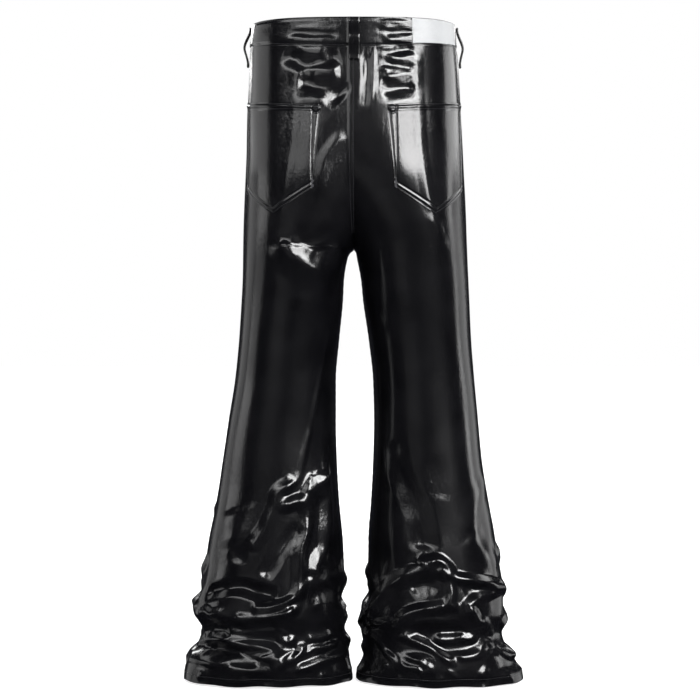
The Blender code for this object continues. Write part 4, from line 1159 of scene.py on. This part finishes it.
def belt_loop(row):
    """A strip that stands off the waist between two flat ends. Returns the piece and its middle line."""
    loop = dict(zip(LOOP_COLUMNS, row))
    waist = Section(loop["side"], 0.0)
    place = {"back": loop["distance"], "front": waist.length - loop["distance"], "side": waist.widest}
    turn = float(waist.turn_of_arc(place[loop["face"]]))
    tall = float(band_height(turn))
    drops = np.linspace(LOOP_TOP, loop["low"], LOOP_STEPS + 1)
    bow = np.sin(np.pi * np.clip((drops - LOOP_FLAT) / (loop["low"] - 2 * LOOP_FLAT), 0, 1))
    rise = LOOP_BOW * bow**LOOP_BOW_POWER / (1 - LOOP_BOW_FLAT * bow**2)
    on_band = np.minimum(drops * BAND_BACK / tall, BAND_BACK)
    rows = np.where(drops > tall, drops + (BAND_BACK - tall) * LOOP_BELOW, on_band)
    cloth = Cloth(loop["side"], [turn], rows)
    outward = np.array((0.0, 1.0, 0.0)) if loop["face"] == "back" else cloth.outward[0, 0].copy()
    seat = LOOP_SEAT + (loop["reach"] - LOOP_SEAT) * rise + LOOP_THICK / 2
    middle = cloth.points[:, 0] + seat[:, None] * outward
    middle[:, 2] = -drops
    along = np.cross((0, 0, 1.0), outward)
    run = unit(np.gradient(middle, axis=0))
    ring = loop_section(loop["width"])
    count = len(ring)
    ways = np.cross(run, along)
    verts = [centre + a * along + b * way for centre, way in zip(middle, ways) for a, b in ring]
    faces = []
    for k in range(LOOP_STEPS):
        for j in range(count):
            a, b = k * count + j, k * count + (j + 1) % count
            faces.append((a, b, b + count, a + count))
    faces.append(tuple(range(count))[::-1])
    faces.append(tuple(LOOP_STEPS * count + j for j in range(count)))
    face = np.cross(verts[1] - verts[0], verts[count] - verts[0])
    if float(face @ (verts[0] - middle[0])) < 0:
        faces = [face[::-1] for face in faces]
    piece = make_piece(loop["name"] + "_cloth", verts, faces, [DENIM], node=loop["name"], angle=50.0)
    return piece, middle, along, np.cross(along, run)


def button():
    """A domed metal button with a rim, on the waistband's lap."""
    waist = Section("right", 0.0)
    turn = float(waist.turn_of_arc(waist.length - BUTTON_ASIDE))
    cloth = Cloth("right", [turn], [BUTTON_DROP * BAND_BACK / BAND_FRONT])
    outward = unit(cloth.outward[0, 0] - np.array([0, 0, BUTTON_LEAN]))
    back = cloth.points[0, 0] + (BAND_PROUD + LAP_STEP + BUTTON_LIFT) * cloth.outward[0, 0]
    first = unit(np.cross(outward, (0, 0, 1.0)))
    second = np.cross(outward, first)
    verts = [back + BUTTON_PROFILE[0][1] * outward]
    for radius, height in BUTTON_PROFILE[1:-1]:
        for angle in np.arange(BUTTON_SPOKES) * 2 * np.pi / BUTTON_SPOKES:
            spoke = math.cos(angle) * first + math.sin(angle) * second
            verts.append(back + height * outward + radius * spoke)
    verts.append(back + BUTTON_PROFILE[-1][1] * outward)
    faces = []
    last = len(verts) - 1
    for j in range(BUTTON_SPOKES):
        after = (j + 1) % BUTTON_SPOKES
        faces.append((0, 1 + j, 1 + after))
        for ring in range(1, last - BUTTON_SPOKES, BUTTON_SPOKES):
            faces.append((ring + j, ring + j + BUTTON_SPOKES, ring + after + BUTTON_SPOKES, ring + after))
        faces.append((last - BUTTON_SPOKES + j, last, last - BUTTON_SPOKES + after))
    face = np.cross(verts[1] - verts[0], verts[2] - verts[0])
    if float(face @ outward) < 0:
        faces = [face[::-1] for face in faces]
    return make_piece("button_dome", verts, faces, [METAL], node="button", slot="button_metal", angle=35.0)


# ---------------------------------------------------------------- sewing


class Sewing:
    """Rows of stitches, gathered into one mesh."""

    def __init__(self):
        self.verts, self.faces = [], []

    def stitch(self, centre, along, normal, long=STITCH_LONG, wide=STITCH_WIDE, high=STITCH_HIGH):
        """One stitch: pointed ends and a full middle."""
        side = np.cross(normal, along)
        start = len(self.verts)
        lift = centre + STITCH_LIFT * normal
        self.verts += [lift - along * long / 2, lift + along * long / 2]
        for a in (-STITCH_BODY, STITCH_BODY):
            core = lift + a * long * along
            self.verts += [core + side * wide / 2, core + normal * high]
            self.verts += [core - side * wide / 2, core - normal * STITCH_SUNK]
        a, b = start + 2, start + 6
        for k in range(4):
            n = (k + 1) % 4
            self.faces += [(start, a + n, a + k), (a + k, a + n, b + n, b + k), (start + 1, b + k, b + n)]

    def row(self, points, normals):
        """Stitches one after another along a line."""
        lengths = np.concatenate([[0], np.cumsum(np.linalg.norm(np.diff(points, axis=0), axis=1))])
        count = int(lengths[-1] / STITCH_PITCH)
        if count < 1:
            return
        places = (np.arange(count) + 0.5) * lengths[-1] / count

        def along_line(places, values):
            return np.stack([np.interp(places, lengths, values[:, k]) for k in range(3)], -1)

        runs = unit(along_line(places + 0.8, points) - along_line(places - 0.8, points))
        for centre, run, normal in zip(along_line(places, points), runs, unit(along_line(places, normals))):
            self.stitch(centre, run, unit(normal - run * (normal @ run)))

    def tack(self, centre, across, normal, wide):
        """A bar tack: close short stitches side by side."""
        upright = unit(np.cross(normal, across))
        for k in np.arange(-wide / 2, wide / 2, TACK_PITCH):
            self.stitch(centre + k * across, upright, normal, TACK_TALL, TACK_WIDE, TACK_HIGH)

    def piece(self, name):
        return make_piece(name, np.array(self.verts), self.faces, [THREAD], angle=180.0)


def pocket_sewing(sewing, shape):
    """The pocket's double rows, and the tacks at its top corners. Rows are shares of its height and width."""
    tall = POCKET_CORNER_DROP - POCKET_TOP_DROP_INNER
    wide = POCKET_TOP_OUTER - POCKET_TOP_INNER
    line, below = np.linspace(0.01, 0.99, ROW_POINTS), np.linspace(0.075, 0.985, ROW_POINTS)
    for place in DOUBLE_ROW:
        sewing.row(*shape.at(place / (tall + 20), line))
    for column in (DOUBLE_ROW[0] / wide, facing(below) / wide, *(1 - place / wide for place in OUTER_ROWS)):
        sewing.row(*shape.at(below, column))
    reach = np.linspace(0.02, 0.98, FOOT_POINTS)
    depth = tall + (POCKET_TIP_DROP - POCKET_CORNER_DROP) * (1 - np.abs(2 * reach - 1))
    for place in DOUBLE_ROW:
        sewing.row(*shape.at(1 - place / POCKET_FOOT_SLOPE / depth, reach))
    for column in (0.04, 0.96):
        point, normal = shape.at(0.03, column)
        beside, _ = shape.at(0.03, column + 0.01)
        sewing.tack(point, unit(beside - point), normal, POCKET_TACK)


def panel_sewing(sewing, skin, side):
    """The hem's row, the middle back seam's rows and the front pocket's rows of one side."""
    for start in (0, 1):
        span = np.linspace(start + 0.01, start + 0.99, HEM_POINTS)
        sewing.row(*skin.at(np.full(HEM_POINTS, HEM - HEM_TURN), span))
    if side == "left":
        drops = np.linspace(BAND_BACK + 3, FELL_SEWN, FELL_POINTS)
        for place in FELL_ROWS:
            sewing.row(*on_panel(skin, np.full(FELL_POINTS, place), drops))
    band = SCOOP_LOW - BAND_SIDE
    angle = np.linspace(0.05, np.pi / 2 - 0.05, ROW_POINTS)
    for place in DOUBLE_ROW:
        reach = 1 + place / band
        drops = BAND_SIDE + band * reach * np.sin(angle)
        arc = np.interp(drops, skin.rows, skin.side_seam) + SCOOP_WIDE * reach * np.cos(angle)
        keep = drops > BAND_BACK + 2
        sewing.row(*on_panel(skin, arc[keep], drops[keep]))


def band_sewing(sewing, skin, stations):
    """Rows along both edges of the waistband and across its lapped end."""
    span = np.linspace(2, len(stations) - 6, BAND_POINTS)
    for drop in BAND_STITCHES:
        sewing.row(*skin.at(np.full(BAND_POINTS, drop), span))
    sewing.row(*skin.at(np.linspace(*BAND_STITCHES, LAP_POINTS), BAND_END))


def fly_sewing(sewing, skin):
    """Two rows down the placket's outer edge."""
    for place in FLY_STITCHES:
        sewing.row(*skin.at(np.linspace(0.02, 0.9, ROW_POINTS), 1 - place / FLY_STITCHED[0]))


def loop_sewing(sewing, row, middle, along, out):
    """Two rows down a belt loop, and a bar tack at each end."""
    width = row[LOOP_COLUMNS.index("width")]
    lift = LOOP_SEWN * LOOP_THICK / 2
    for place in (LOOP_ROW - width / 2, width / 2 - LOOP_ROW):
        sewing.row(middle + place * along + lift * out, out)
    for k in (LOOP_TACK, LOOP_STEPS - LOOP_TACK):
        sewing.tack(middle[k] + lift * out[k], along, out[k], width - LOOP_ROW)


# ---------------------------------------------------------------- light, floor and camera


def studio():
    """A white room that the camera sees, and a dim one that the cloth mirrors."""
    world = bpy.data.worlds.new("studio")
    bpy.context.scene.world = world
    n = Tree(world)
    n.tree.nodes.clear()
    output, mix, ray = (n.add("ShaderNode" + kind) for kind in ("OutputWorld", "MixShader", "LightPath"))
    for socket, color in ((1, (0.012, 0.012, 0.016, 1)), (2, (1, 1, 1, 1))):
        room = n.add("ShaderNodeBackground")
        room.inputs["Color"].default_value = color
        n.link(room.outputs["Background"], mix.inputs[socket])
    n.link(ray.outputs["Is Camera Ray"], mix.inputs["Fac"])
    n.link(mix.outputs["Shader"], output.inputs["Surface"])


# One row for each soft box, as the middle of the garment sees it. Azimuth 0 is where the camera stands and
# rises to the camera's right. distance is in metres. low and high are elevations. light is the box's own
# brightness, and soft the share of each side over which it fades out.
BOX_COLUMNS = ("name", "distance", "from", "to", "low", "high", "light", "soft")
BOXES = (
    ("side_left", 12, -108, -75, 0, 10.5, 1.8, 0.12),
    ("side_left_low", 12, -108, -77, -18, 2, 0.7, 0.12),
    ("rear_left", 12, -142, -108, -14, 10, 0.6, 0.12),
    ("hip_left", 1.5, -135, -75, 14, 31, 1.1, 0.10),
    ("front_left", 12, -41, -8, 10, 23, 2.0, 0.08),
    ("front_right", 12, 11, 46, 11, 23, 18.0, 0.08),
    ("seat_right", 1.5, 27, 44, 2, 17, 9.0, 0.12),
    ("crest_left", 12, -62, -2, 24, 34, 6.0, 0.22),
    ("crest_right", 12, 4, 62, 24, 34, 26.0, 0.22),
    ("low_front", 12, -2, 62, -8, 8, 0.16, 0.40),
    ("lowest_front", 12, -2, 62, -26, -2, 0.06, 0.40),
    ("low_left", 12, -50, 2, -26, 8, 0.20, 0.40),
    ("side_right", 12, 93, 108, 0, 10.5, 3.6, 0.12),
    ("side_right_low", 12, 97, 108, -9, 2, 2.2, 0.12),
    ("rear_right", 12, 106, 142, -14, 10, 1.0, 0.15),
    ("hip_right", 1.5, 89, 135, 14, 29, 3.2, 0.14),
    ("behind_left", 12, 152, 176, 9, 26, 3.0, 0.15),
    ("behind_right", 12, 188, 214, 9, 26, 7.0, 0.15),
)
BOX_MIDDLE = -420.0  # the height that the elevations are seen from


def soften(data, soft):
    """Makes a soft box fade out towards its edges."""
    n = Tree(data)
    place = n.add("ShaderNodeSeparateXYZ")
    n.link(n.add("ShaderNodeNewGeometry").outputs["Parametric"], place.inputs[0])
    fades = []
    for axis in ("X", "Y"):
        away = n.math("ABSOLUTE", n.math("SUBTRACT", place.outputs[axis], 0.5))
        fades.append(n.range(away, 0.5 - soft, 0.5, 1.0, 0.0, interpolation_type="SMOOTHSTEP"))
    n.link(n.math("MULTIPLY", *fades), n.tree.nodes["Emission"].inputs["Strength"])


def soft_boxes():
    """The soft boxes round the garment, and an even light from above that nothing mirrors."""
    for row in BOXES:
        box = dict(zip(BOX_COLUMNS, row))
        distance = box["distance"]
        middle, half = math.radians((box["from"] + box["to"]) / 2), math.radians((box["to"] - box["from"]) / 2)
        low, high = (distance * math.tan(math.radians(box[edge])) for edge in ("low", "high"))
        data = bpy.data.lights.new(box["name"], "AREA")
        data.shape = "RECTANGLE"
        data.size, data.size_y = 2 * distance * math.tan(half), high - low
        data.energy = box["light"] * math.pi * data.size * data.size_y
        soften(data, box["soft"])
        light = bpy.data.objects.new(box["name"], data)
        bpy.context.collection.objects.link(light)
        x, y = -math.sin(middle) * distance, math.cos(middle) * distance
        light.location = (x, y, BOX_MIDDLE * MM + (high + low) / 2)
        light.rotation_euler = (math.pi / 2, 0, math.atan2(x, -y))
        light.visible_camera = False
    sun = bpy.data.lights.new("overhead", "SUN")
    sun.energy, sun.angle = 1.0, math.radians(100)
    overhead = bpy.data.objects.new("overhead", sun)
    bpy.context.collection.objects.link(overhead)
    overhead.visible_glossy = False


def floor():
    """A pale studio floor."""
    mesh = bpy.data.meshes.new("floor")
    signs = ((-1, -1), (1, -1), (1, 1), (-1, 1))
    corners = [(x * FLOOR_REACH, y * FLOOR_REACH, -FLOOR_DROP) for x, y in signs]
    mesh.from_pydata(np.array(corners) * MM, [], [(0, 1, 2, 3)])
    n = Nodes("pale_floor")
    tone = n.ramp(n.noise(3.0, detail=2.0), ((0.3, (0.90, 0.90, 0.90)), (0.7, (0.93, 0.93, 0.93))))
    n.shade(base_color=tone, roughness=0.8, emission_color=(1, 1, 1, 1), emission_strength=0.78)
    mesh.materials.append(n.material)
    piece = bpy.data.objects.new("floor", mesh)
    bpy.context.collection.objects.link(piece)
    piece.visible_glossy = False
    piece.visible_shadow = False


def camera():
    data = bpy.data.cameras.new("camera")
    data.lens, data.sensor_width = CAMERA_LENS, 36.0
    eye = bpy.data.objects.new("camera", data)
    bpy.context.collection.objects.link(eye)
    eye.location = [value * MM for value in CAMERA]
    eye.rotation_euler = (math.pi / 2, 0, math.pi)
    bpy.context.scene.camera = eye


# ---------------------------------------------------------------- the garment

DENIM, INSIDE, WHITE, METAL, THREAD = coated_denim(), bare_denim(), blank_patch(), button_metal(), thread()
FOLD_LIST = fold_list()


def garment():
    """All the pieces, and what kind of cloth each sheet is."""
    skins = panel_skins()
    sewing = {side: Sewing() for side in SIGN}
    trim = Sewing()
    panels, pockets = {}, {}
    for side, skin in skins.items():
        for face in ("back", "front"):
            panels[face, side] = leg_panel(skin, side, face)
        pockets[side], shape = pocket(skin, side)
        pocket_sewing(sewing[side], shape)
        panel_sewing(sewing[side], skin, side)
    band, band_skin, stations = waistband()
    band_sewing(trim, band_skin, stations)
    placket, placket_skin = fly(skins)
    fly_sewing(trim, placket_skin)
    for row in LOOPS:
        piece, middle, along, out = belt_loop(row)
        loop_sewing(trim, row, middle, along, out)
    label = patch()
    knob = button()
    rows = {side: sewing[side].piece(f"stitches_{side}") for side in SIGN}
    trim_rows = trim.piece("stitches_waist")


camera()
studio()
soft_boxes()
floor()
garment()
bpy.context.scene.view_settings.view_transform = "Standard"
